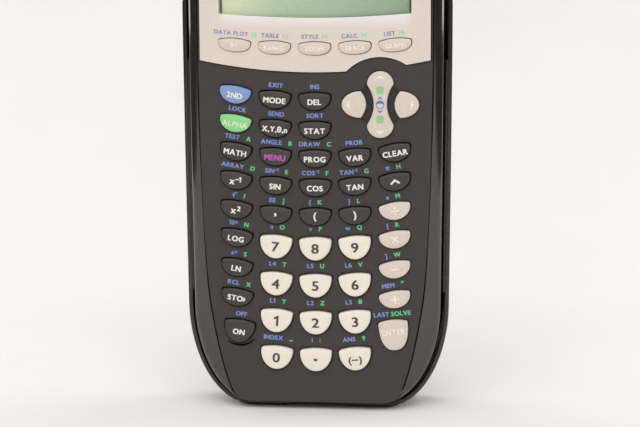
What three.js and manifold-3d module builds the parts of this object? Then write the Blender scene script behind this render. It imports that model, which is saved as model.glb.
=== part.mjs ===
// A graphing calculator with its slide case pushed on over its back, standing upright on the
// case's two feet. Millimetres: +X to the right, +Z up along the length, the keys face -Y.
// The origin is the middle of the footprint, on the surface that the case stands on.

import * as THREE from 'three';
import { mergeVertices } from 'three/addons/utils/BufferGeometryUtils.js';
import Module from 'manifold-3d';

const wasm = await Module();
wasm.setup();

// ---- driving dimensions -------------------------------------------------------------------

const LENGTH = 190;
const HALF_DEPTH = 13.5;
const GAP = 0.3; // between neighbouring pieces

// The two housing shells.
const HOUSING_FOOT = 1.95; // height of the housing's lower end above the surface
const CORNER = { x: 20.4, z: 34.5 }; // centre of the large lower corner
const CORNER_REACH = 19.3; // half width added by the corner
const SIDE_SWELL = 0.95; // the housing is this much wider at the screen than at the corner
const SWELL_Z = 105; // where the swelling side levels out
const TOP_RADIUS = 9;
const WALL = 2;
const FACE_Y = -11.8; // front of the key panel
const SHOULDER_Y = -8.6; // where the sloped wings meet the side walls
const PARTING_Y = 0; // the shells meet here
const BACK_Y = 11.1; // back of the rear shell
const BACK_CHAMFER = 2.5;

// The flat key panel inside the sloped wings: its side bends at the knee and again up to where
// it runs straight.
const PANEL = { foot: 3.4, footHalf: 25.9, topHalf: 37.1, straightFrom: 110, top: 186, radius: 6 };
const PANEL_KNEE = { x: 34, z: 35.8 };
const PANEL_LOW_BEND = { x: 30.6, z: 13 };
const PANEL_HIGH_BEND = { x: 36.5, z: 55 };

// The slide case.
const CASE_CORNER = { x: 21.5, z: 34.5 };
const CASE_REACH = 20.7;
const CASE_SWELL = 0.85;
const CASE_SIDE_TOP = { z: 133, radius: 2.5 }; // the side walls end here
const CASE_TAPER = 0.9; // how much nearer the middle the side walls are at the back
const CASE_BACK = { half: 38.5, from: 98, corner: 6, top: 184, radius: 3 }; // the back goes on up
const CASE_FRONT_Y = -6.5;
const CASE_PLAY = 1.4; // clearance round the housing's sides
const CASE_FOOT_PLAY = 0.9; // clearance below the housing
const CASE_CHAMFER = 1.5;
const LIP = { from: 38, to: 112, front: -6.5, back: -5, inset: 0.4 };
const FOOT_ARCH = { rise: 1.35, half: 11.5, floor: 0.3 }; // the shallow arch between the two feet
const THUMB_NOTCH = { radius: 26, above: 14 };
const PAD_FEET = { x: 14, half: 4, front: -4, back: 8, foot: 0.3 }; // pads the housing stands on

// Screen and bezel.
const BEZEL = { half: 36.45, foot: 108.4, footRadius: 177, top: 184, radius: 5, front: -12.4, back: -10.7 };
const SCREEN = { half: 30.1, foot: 125.7, footRise: 1.4, top: 167 };
const SCREEN_SEAT = 1.5; // the housing's opening is this much larger than the screen
const WINDOW = { front: -11.7, back: -10.2 };
const LCD = { half: 32, front: -9.6, back: -5.2, foot: 122, top: 168 };

// Keys: five columns on rows that sag towards the middle.
const COLUMN_PITCH = 12.7;
const ROW_RADIUS = 153;
const BEZEL_ROW_RADIUS = 290;
const KEY_TOP_Y = -13.2;
const NUMBER_KEY_TOP_Y = -HALF_DEPTH;
const KEY_BACK_Y = -8.7;
const KEY_EASE = 0.5; // how far a keycap's top edge is eased
const KEY_ARCH = 0.5; // rise of a keycap's arched top edge
const KEY_CORNER = 0.9;
const LUG = { thickness: 0.8, reach: 0.6 }; // tabs that keep a keycap behind the panel
const SMALL_KEY = [10, 5.5];
const NUMBER_KEY = [10.2, 7.4];
const FUNCTION_KEY = [10.2, 4.1];
const ENTER_KEY = [9.4, 9.8];
const ON_KEY = [9.8, 7.4];

// Direction pad.
const PAD = { x: 20.7, z: 98.3, well: 7.4, wellDepth: 1, surround: 14.9 };
const ROCKER = { half: 4.2, length: 21, waist: 2.05, kink: 6.4, lug: 3 };
const SIDE_KEY = { inner: 4.5, outer: 12.2, corner: 6.2, half: 4.2, lug: 1.5, lugMiddle: 8.4 };

// Inside.
const SHEET = { front: -6.2, back: -5.2, domeFront: -7.4, domeRadius: 2.2 };
const BOARD = { front: -4.9, back: -3.4 };
const SOCKET_BACK = -0.7;
const SOCKET_TOP = LENGTH - 2.6;
const DATA_SOCKET = { from: -34, to: -27 };
const LINK_SOCKET = { from: 27.5, to: 33.5 };
const CELL = { radius: 5.25, length: 44.5, pitch: 11, y: 3.5, foot: 132.9 };
const TRAY = { half: 26.5, foot: 129.5, top: 181.5, front: -2.9, wall: 0.8, rim: 2 };
const DOOR = { half: 24.7, foot: 117.3, top: 179.7, front: 9.3 };
const BACKUP = { z: 124, radius: 5.8, front: 3, back: 8.4 };
const BACKUP_SEAT = { half: 9, foot: 115.5, floor: 1.5 };
const SCREW_POSTS = [[-33, 30], [33, 30], [-34, 100], [34, 100], [-33, 168], [33, 168]]; // x, z
const POST_RADIUS = 2.8;
const CHIP_HEIGHT = 1.2;
const PROCESSOR = { x: 0, z: 84, half: 8 };
const MEMORY = { x: -17, z: 66, half: 5 };

// ---- solids -------------------------------------------------------------------------------

function toSolid(geometry) {
  const bare = geometry.clone();
  bare.deleteAttribute('normal');
  bare.deleteAttribute('uv');
  const merged = mergeVertices(bare, 1e-4);
  return new wasm.Manifold(new wasm.Mesh({
    numProp: 3,
    vertProperties: new Float32Array(merged.attributes.position.array),
    triVerts: new Uint32Array(merged.index.array),
  }));
}

function toGeometry(solid) {
  const { vertProperties, triVerts } = solid.getMesh();
  const geometry = new THREE.BufferGeometry();
  geometry.setAttribute('position', new THREE.BufferAttribute(vertProperties, 3));
  geometry.setIndex(new THREE.BufferAttribute(triVerts, 1));
  geometry.computeVertexNormals();
  return geometry;
}

const join = (solids) => solids.reduce((whole, piece) => whole.add(piece));
const cut = (solid, tools) => tools.reduce((rest, tool) => rest.subtract(tool), solid);

// A box between two corners.
function box([x0, y0, z0], [x1, y1, z1]) {
  const geometry = new THREE.BoxGeometry(x1 - x0, y1 - y0, z1 - z0);
  geometry.translate((x0 + x1) / 2, (y0 + y1) / 2, (z0 + z1) / 2);
  return toSolid(geometry);
}

// A round bar along the depth.
function bar(x, z, radius, yFront, yBack, sides = 24) {
  const geometry = new THREE.CylinderGeometry(radius, radius, yBack - yFront, sides);
  geometry.translate(x, (yFront + yBack) / 2, z);
  return toSolid(geometry);
}

// A plate from an outline drawn as the front is seen, between two depths.
function plate(points, yFront, yBack) {
  const shape = new THREE.Shape(points);
  const geometry = new THREE.ExtrudeGeometry(shape, { depth: yBack - yFront, bevelEnabled: false });
  geometry.rotateX(Math.PI / 2);
  geometry.translate(0, yBack, 0);
  return toSolid(geometry);
}

// A solid through rings of equally many points, from back to front, each {points, y}.
function loft(rings) {
  const count = rings[0].points.length;
  const positions = rings.flatMap(({ points, y }) => points.flatMap((p) => [p.x, y, p.y]));
  const indices = [];
  for (let ring = 0; ring < rings.length - 1; ring += 1) {
    for (let i = 0; i < count; i += 1) {
      const a = ring * count + i;
      const b = ring * count + ((i + 1) % count);
      indices.push(a, b, b + count, a, b + count, a + count);
    }
  }
  const cap = THREE.ShapeUtils.triangulateShape(rings[0].points, []);
  const last = (rings.length - 1) * count;
  for (const [a, b, c] of cap) {
    indices.push(a, c, b, last + a, last + b, last + c);
  }
  const geometry = new THREE.BufferGeometry();
  geometry.setAttribute('position', new THREE.Float32BufferAttribute(positions, 3));
  geometry.setIndex(indices);
  return toSolid(geometry);
}

// ---- outlines -----------------------------------------------------------------------------

const point = (x, y) => new THREE.Vector2(x, y);
const line = (from, to) => new THREE.LineCurve(from, to);
const bend = (from, control, to) => new THREE.QuadraticBezierCurve(from, control, to);

function arc(x, y, radiusX, radiusY, from, to) {
  return new THREE.EllipseCurve(x, y, radiusX, radiusY, from, to, to < from);
}

// Points along a chain of [curve, divisions], without the chain's last point.
function trace(chain) {
  return chain.flatMap(([curve, divisions]) => curve.getPoints(divisions).slice(0, -1));
}

// The right half of an outline, mirrored about the middle plane.
function mirrored(half) {
  const left = half.filter((p) => p.x > 1e-6).map((p) => point(-p.x, p.y)).reverse();
  return [...half, ...left];
}

// A long body: level foot, elliptical lower corner, swelling side, rounded top.
function bodyOutline({ foot, corner, reach, swell, top, radius }, grow = 0) {
  const low = foot - grow;
  const sideX = corner.x + reach + grow;
  const topX = sideX + swell;
  const topZ = top + grow;
  const round = radius + grow;
  const half = trace([
    [line(point(0, low), point(corner.x, low)), 1],
    [arc(corner.x, corner.z, reach + grow, corner.z - low, -Math.PI / 2, 0), 8],
    [bend(point(sideX, corner.z), point(topX, SWELL_Z), point(topX, topZ - round)), 4],
    [arc(topX - round, topZ - round, round, round, 0, Math.PI / 2), 4],
    [line(point(topX - round, topZ), point(0, topZ)), 1],
  ]);
  return mirrored([...half, point(0, topZ)]);
}

const HOUSING = {
  foot: HOUSING_FOOT,
  corner: CORNER,
  reach: CORNER_REACH,
  swell: SIDE_SWELL,
  top: LENGTH,
  radius: TOP_RADIUS,
};

function panelOutline() {
  const { foot, footHalf, topHalf, straightFrom, top, radius } = PANEL;
  const knee = point(PANEL_KNEE.x, PANEL_KNEE.z);
  const half = trace([
    [line(point(0, foot), point(footHalf, foot)), 1],
    [bend(point(footHalf, foot), point(PANEL_LOW_BEND.x, PANEL_LOW_BEND.z), knee), 8],
    [bend(knee, point(PANEL_HIGH_BEND.x, PANEL_HIGH_BEND.z), point(topHalf, straightFrom)), 3],
    [line(point(topHalf, straightFrom), point(topHalf, top - radius)), 1],
    [arc(topHalf - radius, top - radius, radius, radius, 0, Math.PI / 2), 4],
    [line(point(topHalf - radius, top), point(0, top)), 1],
  ]);
  return mirrored([...half, point(0, top)]);
}

// A keycap: arched top edge with small corners, and a deep round lower edge.
function keyOutline([width, height], grow = 0) {
  const half = width / 2 + grow;
  const top = height / 2 + grow;
  const shoulder = top - KEY_ARCH;
  const side = shoulder - KEY_CORNER;
  const inner = half - KEY_CORNER;
  return trace([
    [arc(0, side, half, side + top, -Math.PI, 0), 8],
    [bend(point(half, side), point(half, shoulder), point(inner, shoulder)), 2],
    [bend(point(inner, shoulder), point(0, top + KEY_ARCH), point(-inner, shoulder)), 4],
    [bend(point(-inner, shoulder), point(-half, shoulder), point(-half, side)), 2],
  ]);
}

// The up and down rocker: two round lobes with a waist between them.
function rockerOutline(grow = 0) {
  const half = ROCKER.half + grow;
  const end = ROCKER.length / 2 + grow;
  const waist = 2 * (ROCKER.waist + grow) - half;
  const kink = ROCKER.kink;
  return trace([
    [arc(0, kink, half, end - kink, 0, Math.PI), 8],
    [bend(point(-half, kink), point(-waist, 0), point(-half, -kink)), 4],
    [arc(0, -kink, half, end - kink, -Math.PI, 0), 8],
    [bend(point(half, -kink), point(waist, 0), point(half, kink)), 4],
  ]);
}

// A side key of the pad: a bulging inner edge between two corners, and a round outer end.
function sideKeyOutline(side, grow = 0) {
  const half = SIDE_KEY.half + grow;
  const inner = 2 * (SIDE_KEY.inner - grow) - SIDE_KEY.corner;
  const outer = SIDE_KEY.outer + grow - SIDE_KEY.corner;
  const points = trace([
    [bend(point(SIDE_KEY.corner, half), point(inner, 0), point(SIDE_KEY.corner, -half)), 5],
    [arc(SIDE_KEY.corner, 0, outer, half, -Math.PI / 2, Math.PI / 2), 9],
  ]);
  return side > 0 ? points : points.map((p) => point(-p.x, p.y)).reverse();
}

// ---- key layout ---------------------------------------------------------------------------

const DARK = 0x37322f;
const PALE = 0xcfc5ba;
const WHITE = 0xece3d8;
const BLUE = 0x809fcb;
const GREEN = 0x8fd68f;

const row = (foot, style, names) => names.map((name, i) => ({ name, column: i - 2, foot, ...style }));
const darkKey = { size: SMALL_KEY, colour: DARK };
const paleKey = { size: SMALL_KEY, colour: PALE };
const numberKey = { size: NUMBER_KEY, colour: WHITE, top: NUMBER_KEY_TOP_Y };
const functionKey = { size: FUNCTION_KEY, colour: PALE, radius: BEZEL_ROW_RADIUS };

const KEYS = [
  ...row(115.85, functionKey, [1, 2, 3, 4, 5].map((i) => `key_function_${i}`)),
  ...row(99.2, darkKey, ['key_second', 'key_mode', 'key_delete']),
  ...row(90.1, darkKey, ['key_alpha', 'key_variable', 'key_statistics']),
  ...row(81.1, darkKey, ['key_math', 'key_menu', 'key_program', 'key_memory', 'key_clear']),
  ...row(71.9, darkKey, ['key_inverse', 'key_sine', 'key_cosine', 'key_tangent', 'key_power']),
  ...row(62.6, darkKey, ['key_square', 'key_comma', 'key_open_bracket', 'key_close_bracket']),
  { name: 'key_divide', column: 2, foot: 62.6, ...paleKey },
  { name: 'key_logarithm', column: -2, foot: 53.5, ...darkKey },
  { name: 'key_multiply', column: 2, foot: 53.5, ...paleKey },
  { name: 'key_natural_logarithm', column: -2, foot: 43.9, ...darkKey },
  { name: 'key_subtract', column: 2, foot: 43.9, ...paleKey },
  { name: 'key_store', column: -2, foot: 34.3, ...darkKey },
  { name: 'key_add', column: 2, foot: 34.3, ...paleKey },
  { name: 'key_on', column: -1.95, foot: 23.45, size: ON_KEY, colour: DARK, turn: 0.13 },
  { name: 'key_enter', column: 1.97, foot: 22.9, size: ENTER_KEY, colour: PALE, turn: -0.09 },
  ...[[7, 52.4], [4, 40.45], [1, 28.5]].flatMap(([first, foot]) => [0, 1, 2].map((i) => (
    { name: `key_${first + i}`, column: i - 1, foot, ...numberKey }))),
  ...['key_0', 'key_point', 'key_negative'].map((name, i) => (
    { name, column: i - 1, foot: 16.5, ...numberKey })),
];
KEYS.find((key) => key.name === 'key_second').colour = BLUE;
KEYS.find((key) => key.name === 'key_alpha').colour = GREEN;

// Where a key sits on its row's arc, and how far it turns to follow the arc.
function place({ column, foot, radius = ROW_RADIUS, turn }) {
  const x = column * COLUMN_PITCH;
  return { x, z: foot + (x * x) / (2 * radius), turn: turn ?? -x / radius };
}

// Points of an outline turned and moved to where the key is.
function placed(points, { x, z, turn }) {
  return points.map((p) => p.clone().rotateAround(point(0, 0), -turn).add(point(x, z)));
}

const HOLE_FRONT = -HALF_DEPTH - 1;
const HOLE_BACK = FACE_Y + WALL + 1;
const keyHoles = KEYS.map((key) => (
  plate(placed(keyOutline(key.size, GAP), place(key)), HOLE_FRONT, HOLE_BACK)));
const padOutlines = [rockerOutline, (grow) => sideKeyOutline(-1, grow), (grow) => sideKeyOutline(1, grow)];
const padHoles = padOutlines.map((outline) => (
  plate(placed(outline(GAP), { x: PAD.x, z: PAD.z, turn: 0 }), HOLE_FRONT, HOLE_BACK)));

// ---- keycaps ------------------------------------------------------------------------------

// A keycap with an eased top edge and two lugs that stop it behind the panel.
function keycap(points, eased, top, lugHalf, lugHeight) {
  const cap = loft([
    { points, y: KEY_BACK_Y },
    { points, y: top + KEY_EASE },
    { points: eased, y: top },
  ]);
  const front = KEY_BACK_Y - LUG.thickness;
  const lugs = box([-lugHalf, front, -lugHeight / 2], [lugHalf, KEY_BACK_Y, lugHeight / 2]);
  return cap.add(lugs);
}

function columnKey({ size, top = KEY_TOP_Y }) {
  const lugHalf = size[0] / 2 + LUG.reach;
  return keycap(keyOutline(size), keyOutline(size, -KEY_EASE), top, lugHalf, size[1] * 0.3);
}

// The rocker's lugs are beside its pivot, where they hardly move.
const rocker = () => (
  keycap(rockerOutline(), rockerOutline(-KEY_EASE), KEY_TOP_Y, ROCKER.half - LUG.reach, ROCKER.lug));

function sideKey(side) {
  const cap = loft([
    { points: sideKeyOutline(side), y: KEY_BACK_Y },
    { points: sideKeyOutline(side), y: KEY_TOP_Y + KEY_EASE },
    { points: sideKeyOutline(side, -KEY_EASE), y: KEY_TOP_Y },
  ]);
  const middle = side * SIDE_KEY.lugMiddle;
  const front = KEY_BACK_Y - LUG.thickness;
  const reach = SIDE_KEY.half + LUG.reach;
  const { lug } = SIDE_KEY;
  return cap.add(box([middle - lug, front, -reach], [middle + lug, KEY_BACK_Y, reach]));
}

// ---- housings -----------------------------------------------------------------------------

// The bezel's outline: sagging foot edge, and straight sides up to rounded top corners.
function bezelOutline(grow = 0) {
  const { foot, footRadius, radius } = BEZEL;
  const edge = BEZEL.half + grow;
  const low = foot - grow;
  const crest = BEZEL.top + grow;
  const spread = Math.asin(edge / footRadius);
  const side = low + footRadius * (1 - Math.cos(spread));
  return trace([
    [arc(0, low + footRadius, footRadius, footRadius, -Math.PI / 2 - spread, -Math.PI / 2 + spread), 12],
    [line(point(edge, side), point(edge, crest - radius)), 1],
    [arc(edge - radius, crest - radius, radius, radius, 0, Math.PI / 2), 4],
    [arc(radius - edge, crest - radius, radius, radius, Math.PI / 2, Math.PI), 4],
    [line(point(-edge, crest - radius), point(-edge, side)), 1],
  ]);
}

function screenOutline(grow = 0) {
  const { half, foot, footRise, top } = SCREEN;
  const edge = half + grow;
  const corner = foot + footRise - grow;
  return trace([
    [bend(point(-edge, corner), point(0, foot - footRise - grow), point(edge, corner)), 8],
    [line(point(edge, corner), point(edge, top + grow)), 1],
    [line(point(edge, top + grow), point(-edge, top + grow)), 1],
    [line(point(-edge, top + grow), point(-edge, corner)), 1],
  ]);
}

function frontHousing() {
  const shell = loft([
    { points: bodyOutline(HOUSING), y: PARTING_Y - GAP },
    { points: bodyOutline(HOUSING), y: SHOULDER_Y },
    { points: panelOutline(), y: FACE_Y },
  ]);
  const cavity = plate(bodyOutline(HOUSING, -WALL), FACE_Y + WALL, PARTING_Y + 1);
  const bezelSeat = plate(bezelOutline(GAP), FACE_Y - 1, BEZEL.back + GAP)
    .subtract(bar(PAD.x, PAD.z, PAD.surround - GAP, FACE_Y - 2, 0, 40));
  const well = bar(PAD.x, PAD.z, PAD.well, FACE_Y - 1, FACE_Y + PAD.wellDepth, 32);
  const screenHole = plate(screenOutline(SCREEN_SEAT), FACE_Y - 1, 0);
  const socketHoles = [DATA_SOCKET, LINK_SOCKET].map(({ from, to }) => (
    box([from + 1, BOARD.back + 0.4, LENGTH - 8], [to - 1, SOCKET_BACK - 0.3, LENGTH + 2])));
  const openings = [cavity, bezelSeat, well, screenHole, ...socketHoles];
  return cut(shell, [...openings, ...keyHoles, ...padHoles]);
}

function screenBezel() {
  const frame = plate(bezelOutline(), BEZEL.front, BEZEL.back);
  const notch = bar(PAD.x, PAD.z, PAD.surround, HOLE_FRONT, 0, 40);
  const functionHoles = keyHoles.slice(0, 5);
  return cut(frame, [notch, plate(screenOutline(GAP), HOLE_FRONT, 0), ...functionHoles]);
}

const screenWindow = () => plate(screenOutline(), WINDOW.front, WINDOW.back);
const lcdPanel = () => box([-LCD.half, LCD.front, LCD.foot], [LCD.half, LCD.back, LCD.top]);

function rearHousing() {
  const shell = loft([
    { points: bodyOutline(HOUSING, -BACK_CHAMFER), y: BACK_Y },
    { points: bodyOutline(HOUSING), y: BACK_Y - BACK_CHAMFER },
    { points: bodyOutline(HOUSING), y: PARTING_Y },
  ]);
  const hollow = shell.subtract(plate(bodyOutline(HOUSING, -WALL), PARTING_Y - 1, BACK_Y - WALL));
  const trayBack = BACK_Y - WALL + 0.1;
  const tray = box([-TRAY.half, TRAY.front, TRAY.foot], [TRAY.half, trayBack, TRAY.top]);
  const { half, foot, floor } = BACKUP_SEAT;
  const backupSeat = box([-half, BACKUP.front - floor, foot], [half, trayBack, TRAY.foot + 0.5]);
  const posts = SCREW_POSTS.map(([x, z]) => (
    bar(x, z, POST_RADIUS, PARTING_Y + GAP, trayBack, 16)));
  const { rim } = TRAY;
  const pocketWall = TRAY.half - rim;
  const pocketFront = TRAY.front + TRAY.wall;
  const pocket = box([-pocketWall, pocketFront, TRAY.foot + rim], [pocketWall, 10, TRAY.top - rim]);
  const backupPocket = bar(0, BACKUP.z, BACKUP.radius + GAP, BACKUP.front - GAP, 10);
  const doorway = box(
    [-DOOR.half - GAP, DOOR.front - GAP, DOOR.foot - GAP],
    [DOOR.half + GAP, BACK_Y + 1, DOOR.top + GAP],
  );
  return cut(join([hollow, tray, backupSeat, ...posts]), [pocket, backupPocket, doorway]);
}

function batteryDoor() {
  const panel = box([-DOOR.half, DOOR.front, DOOR.foot], [DOOR.half, BACK_Y, DOOR.top]);
  const thumbGroove = box([-7, BACK_Y - 0.7, DOOR.top - 6], [7, BACK_Y + 1, DOOR.top - 2]);
  return panel.subtract(thumbGroove);
}

// ---- inside -------------------------------------------------------------------------------

// The silicone sheet with one collapsible dome behind each key, drawn with the domes pressed.
function keypadSheet() {
  const sheet = box([-36, SHEET.front, 6], [36, SHEET.back, 119.5]);
  const trimmed = sheet.intersect(plate(bodyOutline(HOUSING, -WALL - 1), SHEET.front, SHEET.back));
  const spots = KEYS.map(place);
  const padSpots = [[0, 8.6], [0, -8.6], [8.4, 0], [-8.4, 0]].map(([x, z]) => (
    { x: PAD.x + x, z: PAD.z + z }));
  const domes = [...spots, ...padSpots].map(({ x, z }) => {
    const height = SHEET.front - SHEET.domeFront + 0.1;
    const geometry = new THREE.CylinderGeometry(SHEET.domeRadius, 1.4, height, 8);
    geometry.translate(x, SHEET.domeFront + height / 2, z);
    return toSolid(geometry);
  });
  return join([trimmed, ...domes]);
}

// The circuit board with its processor, memory, link socket and data socket.
function circuitBoard() {
  const board = box([-35, BOARD.front, 8], [35, BOARD.back, LENGTH - 5])
    .intersect(plate(bodyOutline(HOUSING, -WALL - 1.2), BOARD.front, BOARD.back));
  const chips = [PROCESSOR, MEMORY].map(({ x, z, half }) => (
    box([x - half, BOARD.back - 0.1, z - half], [x + half, BOARD.back + CHIP_HEIGHT, z + half])));
  const parts = [
    ...chips,
    box([DATA_SOCKET.from, BOARD.back - 0.1, LENGTH - 12], [DATA_SOCKET.to, SOCKET_BACK, SOCKET_TOP]),
    box([LINK_SOCKET.from, BOARD.back - 0.1, LENGTH - 16], [LINK_SOCKET.to, SOCKET_BACK, SOCKET_TOP]),
  ];
  return join([board, ...parts]);
}

// Four cells side by side, joined end to end by their contact strips.
function batteryCells() {
  const cells = [-1.5, -0.5, 0.5, 1.5].map((slot) => {
    const geometry = new THREE.CylinderGeometry(CELL.radius, CELL.radius, CELL.length, 20);
    geometry.rotateX(Math.PI / 2);
    geometry.translate(slot * CELL.pitch, CELL.y, CELL.foot + CELL.length / 2);
    return toSolid(geometry);
  });
  const strips = [CELL.foot - 0.5, CELL.foot + CELL.length - 0.1].map((z) => box(
    [-2 * CELL.pitch + 1, CELL.y - 2, z],
    [2 * CELL.pitch - 1, CELL.y + 2, z + 0.6],
  ));
  return join([...cells, ...strips]);
}

const backupCell = () => bar(0, BACKUP.z, BACKUP.radius, BACKUP.front, BACKUP.back);

// ---- slide case ---------------------------------------------------------------------------

const narrower = (spec) => ({ ...spec, reach: spec.reach - CASE_TAPER });

function slideCase() {
  const outer = {
    foot: 0,
    corner: CASE_CORNER,
    reach: CASE_REACH,
    swell: CASE_SWELL,
    top: CASE_SIDE_TOP.z,
    radius: CASE_SIDE_TOP.radius,
  };
  const shell = loft([
    { points: bodyOutline(narrower(outer), -CASE_CHAMFER), y: HALF_DEPTH },
    { points: bodyOutline(narrower(outer)), y: HALF_DEPTH - CASE_CHAMFER },
    { points: bodyOutline(outer), y: CASE_FRONT_Y },
  ]);
  const raised = HOUSING_FOOT + CASE_PLAY - CASE_FOOT_PLAY;
  const tall = { ...HOUSING, foot: raised, top: LENGTH + 20 };
  const roomBack = BACK_Y + 0.4;
  const room = loft([
    { points: bodyOutline(narrower(tall), CASE_PLAY - BACK_CHAMFER), y: roomBack },
    { points: bodyOutline(narrower(tall), CASE_PLAY), y: roomBack - BACK_CHAMFER },
    { points: bodyOutline(tall, CASE_PLAY), y: CASE_FRONT_Y - 1 },
  ]);
  const backPlate = plate(bodyOutline({
    foot: CASE_BACK.from,
    corner: { x: CASE_BACK.half - CASE_BACK.corner, z: CASE_BACK.from + CASE_BACK.corner },
    reach: CASE_BACK.corner,
    swell: 0,
    top: CASE_BACK.top,
    radius: CASE_BACK.radius,
  }), roomBack, HALF_DEPTH);

  const { rise, half, floor } = FOOT_ARCH;
  const radius = (half * half + rise * rise) / (2 * rise);
  const archBar = (lift) => bar(0, rise + lift - radius, radius, CASE_FRONT_Y, HALF_DEPTH, 180);
  const archFloor = archBar(floor).intersect(box([-half, CASE_FRONT_Y, 0.1], [half, BACK_Y, HOUSING_FOOT]));
  const thumbCircle = CASE_BACK.top + THUMB_NOTCH.above;
  const thumbNotch = bar(0, thumbCircle, THUMB_NOTCH.radius, BACK_Y - 2, HALF_DEPTH + 1, 48);
  const wall = join([shell.subtract(room), backPlate, archFloor]);

  const lipBand = box([-LENGTH, LIP.front, LIP.from], [LENGTH, LIP.back, LIP.to])
    .intersect(plate(bodyOutline(outer, -LIP.inset), LIP.front, LIP.back));
  const throat = plate(bodyOutline({ ...HOUSING, top: LENGTH + 20 }, GAP), CASE_FRONT_Y - 1, 0);
  const feet = [-PAD_FEET.x, PAD_FEET.x].map((x) => box(
    [x - PAD_FEET.half, PAD_FEET.front, PAD_FEET.foot],
    [x + PAD_FEET.half, PAD_FEET.back, HOUSING_FOOT - GAP],
  ));
  const arch = bar(0, rise - radius, radius, CASE_FRONT_Y - 1, HALF_DEPTH + 1, 180);
  return cut(join([wall, lipBand.subtract(throat), ...feet]), [arch, thumbNotch]);
}

// ---- assembly -----------------------------------------------------------------------------

function material(color, roughness, metalness = 0) {
  return new THREE.MeshStandardMaterial({ color, roughness, metalness });
}

function piece(name, solid, finish) {
  const mesh = new THREE.Mesh(toGeometry(solid), finish);
  mesh.name = name;
  return mesh;
}

const calculator = new THREE.Group();
calculator.add(
  piece('front_housing', frontHousing(), material(0x433d3b, 0.55)),
  piece('rear_housing', rearHousing(), material(0x2b2828, 0.5)),
  piece('screen_bezel', screenBezel(), material(0xd9cdc2, 0.45)),
  piece('screen_window', screenWindow(), material(0xc8d2c0, 0.1)),
  piece('lcd_panel', lcdPanel(), material(0xa5b99b, 0.3)),
  piece('keypad_sheet', keypadSheet(), material(0x8a8f94, 0.8)),
  piece('circuit_board', circuitBoard(), material(0x2f6b45, 0.6)),
  piece('battery_door', batteryDoor(), material(0x2b2828, 0.5)),
  piece('battery_cells', batteryCells(), material(0xb9bcc0, 0.35, 0.8)),
  piece('backup_cell', backupCell(), material(0xc4c6c9, 0.25, 0.9)),
);

for (const key of KEYS) {
  const { x, z, turn } = place(key);
  const cap = piece(key.name, columnKey(key), material(key.colour, 0.45));
  cap.position.set(x, 0, z);
  cap.rotation.y = turn;
  calculator.add(cap);
}

const pad = new THREE.Group();
pad.position.set(PAD.x, 0, PAD.z);
pad.add(
  piece('key_up_down', rocker(), material(PALE, 0.45)),
  piece('key_left', sideKey(-1), material(PALE, 0.45)),
  piece('key_right', sideKey(1), material(PALE, 0.45)),
);
calculator.add(pad);

const model = new THREE.Group();
model.add(calculator, piece('slide_case', slideCase(), material(0x232020, 0.35)));

export default model;
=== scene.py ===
"""A graphing calculator standing in its slide case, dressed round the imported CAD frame.

Lengths below are millimetres in the frame's own axes: x to the right, y from the keys to the
back, z up. Meshes are scaled to metres as they are made.
"""

from math import acos, asin, ceil, copysign, cos, degrees, dist, exp, hypot, pi, radians, sin, sqrt

import bmesh
import bpy
from mathutils import Matrix, Vector
from mathutils.geometry import delaunay_2d_cdt

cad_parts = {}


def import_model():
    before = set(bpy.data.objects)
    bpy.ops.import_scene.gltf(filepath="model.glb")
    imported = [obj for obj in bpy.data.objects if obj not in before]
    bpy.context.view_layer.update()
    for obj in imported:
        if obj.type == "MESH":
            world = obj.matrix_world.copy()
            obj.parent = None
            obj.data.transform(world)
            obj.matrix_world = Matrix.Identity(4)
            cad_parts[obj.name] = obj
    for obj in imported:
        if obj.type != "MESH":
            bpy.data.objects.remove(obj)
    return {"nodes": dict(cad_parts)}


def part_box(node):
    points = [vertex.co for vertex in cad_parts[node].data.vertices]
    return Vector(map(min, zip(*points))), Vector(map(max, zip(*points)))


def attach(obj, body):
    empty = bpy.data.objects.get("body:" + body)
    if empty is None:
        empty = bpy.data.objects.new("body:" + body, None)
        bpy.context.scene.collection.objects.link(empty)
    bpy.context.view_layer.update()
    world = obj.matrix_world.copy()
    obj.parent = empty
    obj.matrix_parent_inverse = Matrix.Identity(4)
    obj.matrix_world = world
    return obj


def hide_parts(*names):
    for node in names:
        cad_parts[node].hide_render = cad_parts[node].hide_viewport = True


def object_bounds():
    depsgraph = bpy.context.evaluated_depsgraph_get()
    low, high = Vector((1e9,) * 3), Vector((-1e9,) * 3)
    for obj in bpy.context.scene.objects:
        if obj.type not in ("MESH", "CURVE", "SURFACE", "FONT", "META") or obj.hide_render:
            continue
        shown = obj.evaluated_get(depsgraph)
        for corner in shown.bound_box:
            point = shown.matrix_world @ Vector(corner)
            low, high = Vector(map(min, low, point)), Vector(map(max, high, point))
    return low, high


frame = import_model()
cad_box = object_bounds()
MM = 0.001


def extent(node, axis):
    """The low and high end of a CAD node along an axis, in millimetres."""
    return [getattr(corner, axis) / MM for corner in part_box(node)]


# ---- driving dimensions, as the frame has them ----

LENGTH = cad_box[1].z / MM
BACK_OF_CASE = cad_box[1].y / MM
FACE = extent("front_housing", "y")[0]
PARTING = 0.0
BEZEL_FRONT, BEZEL_BACK = extent("screen_bezel", "y")
CASE_FRONT = extent("slide_case", "y")[0]
CASE_TOP = extent("slide_case", "z")[1]
DOOR_FRONT, REAR_BACK = extent("battery_door", "y")
DOOR_FOOT, DOOR_TOP = extent("battery_door", "z")
DOOR_HALF = extent("battery_door", "x")[1]
KEY_TOP, KEY_BACK = extent("key_on", "y")
NUMBER_KEY_TOP = extent("key_5", "y")[0]

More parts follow.
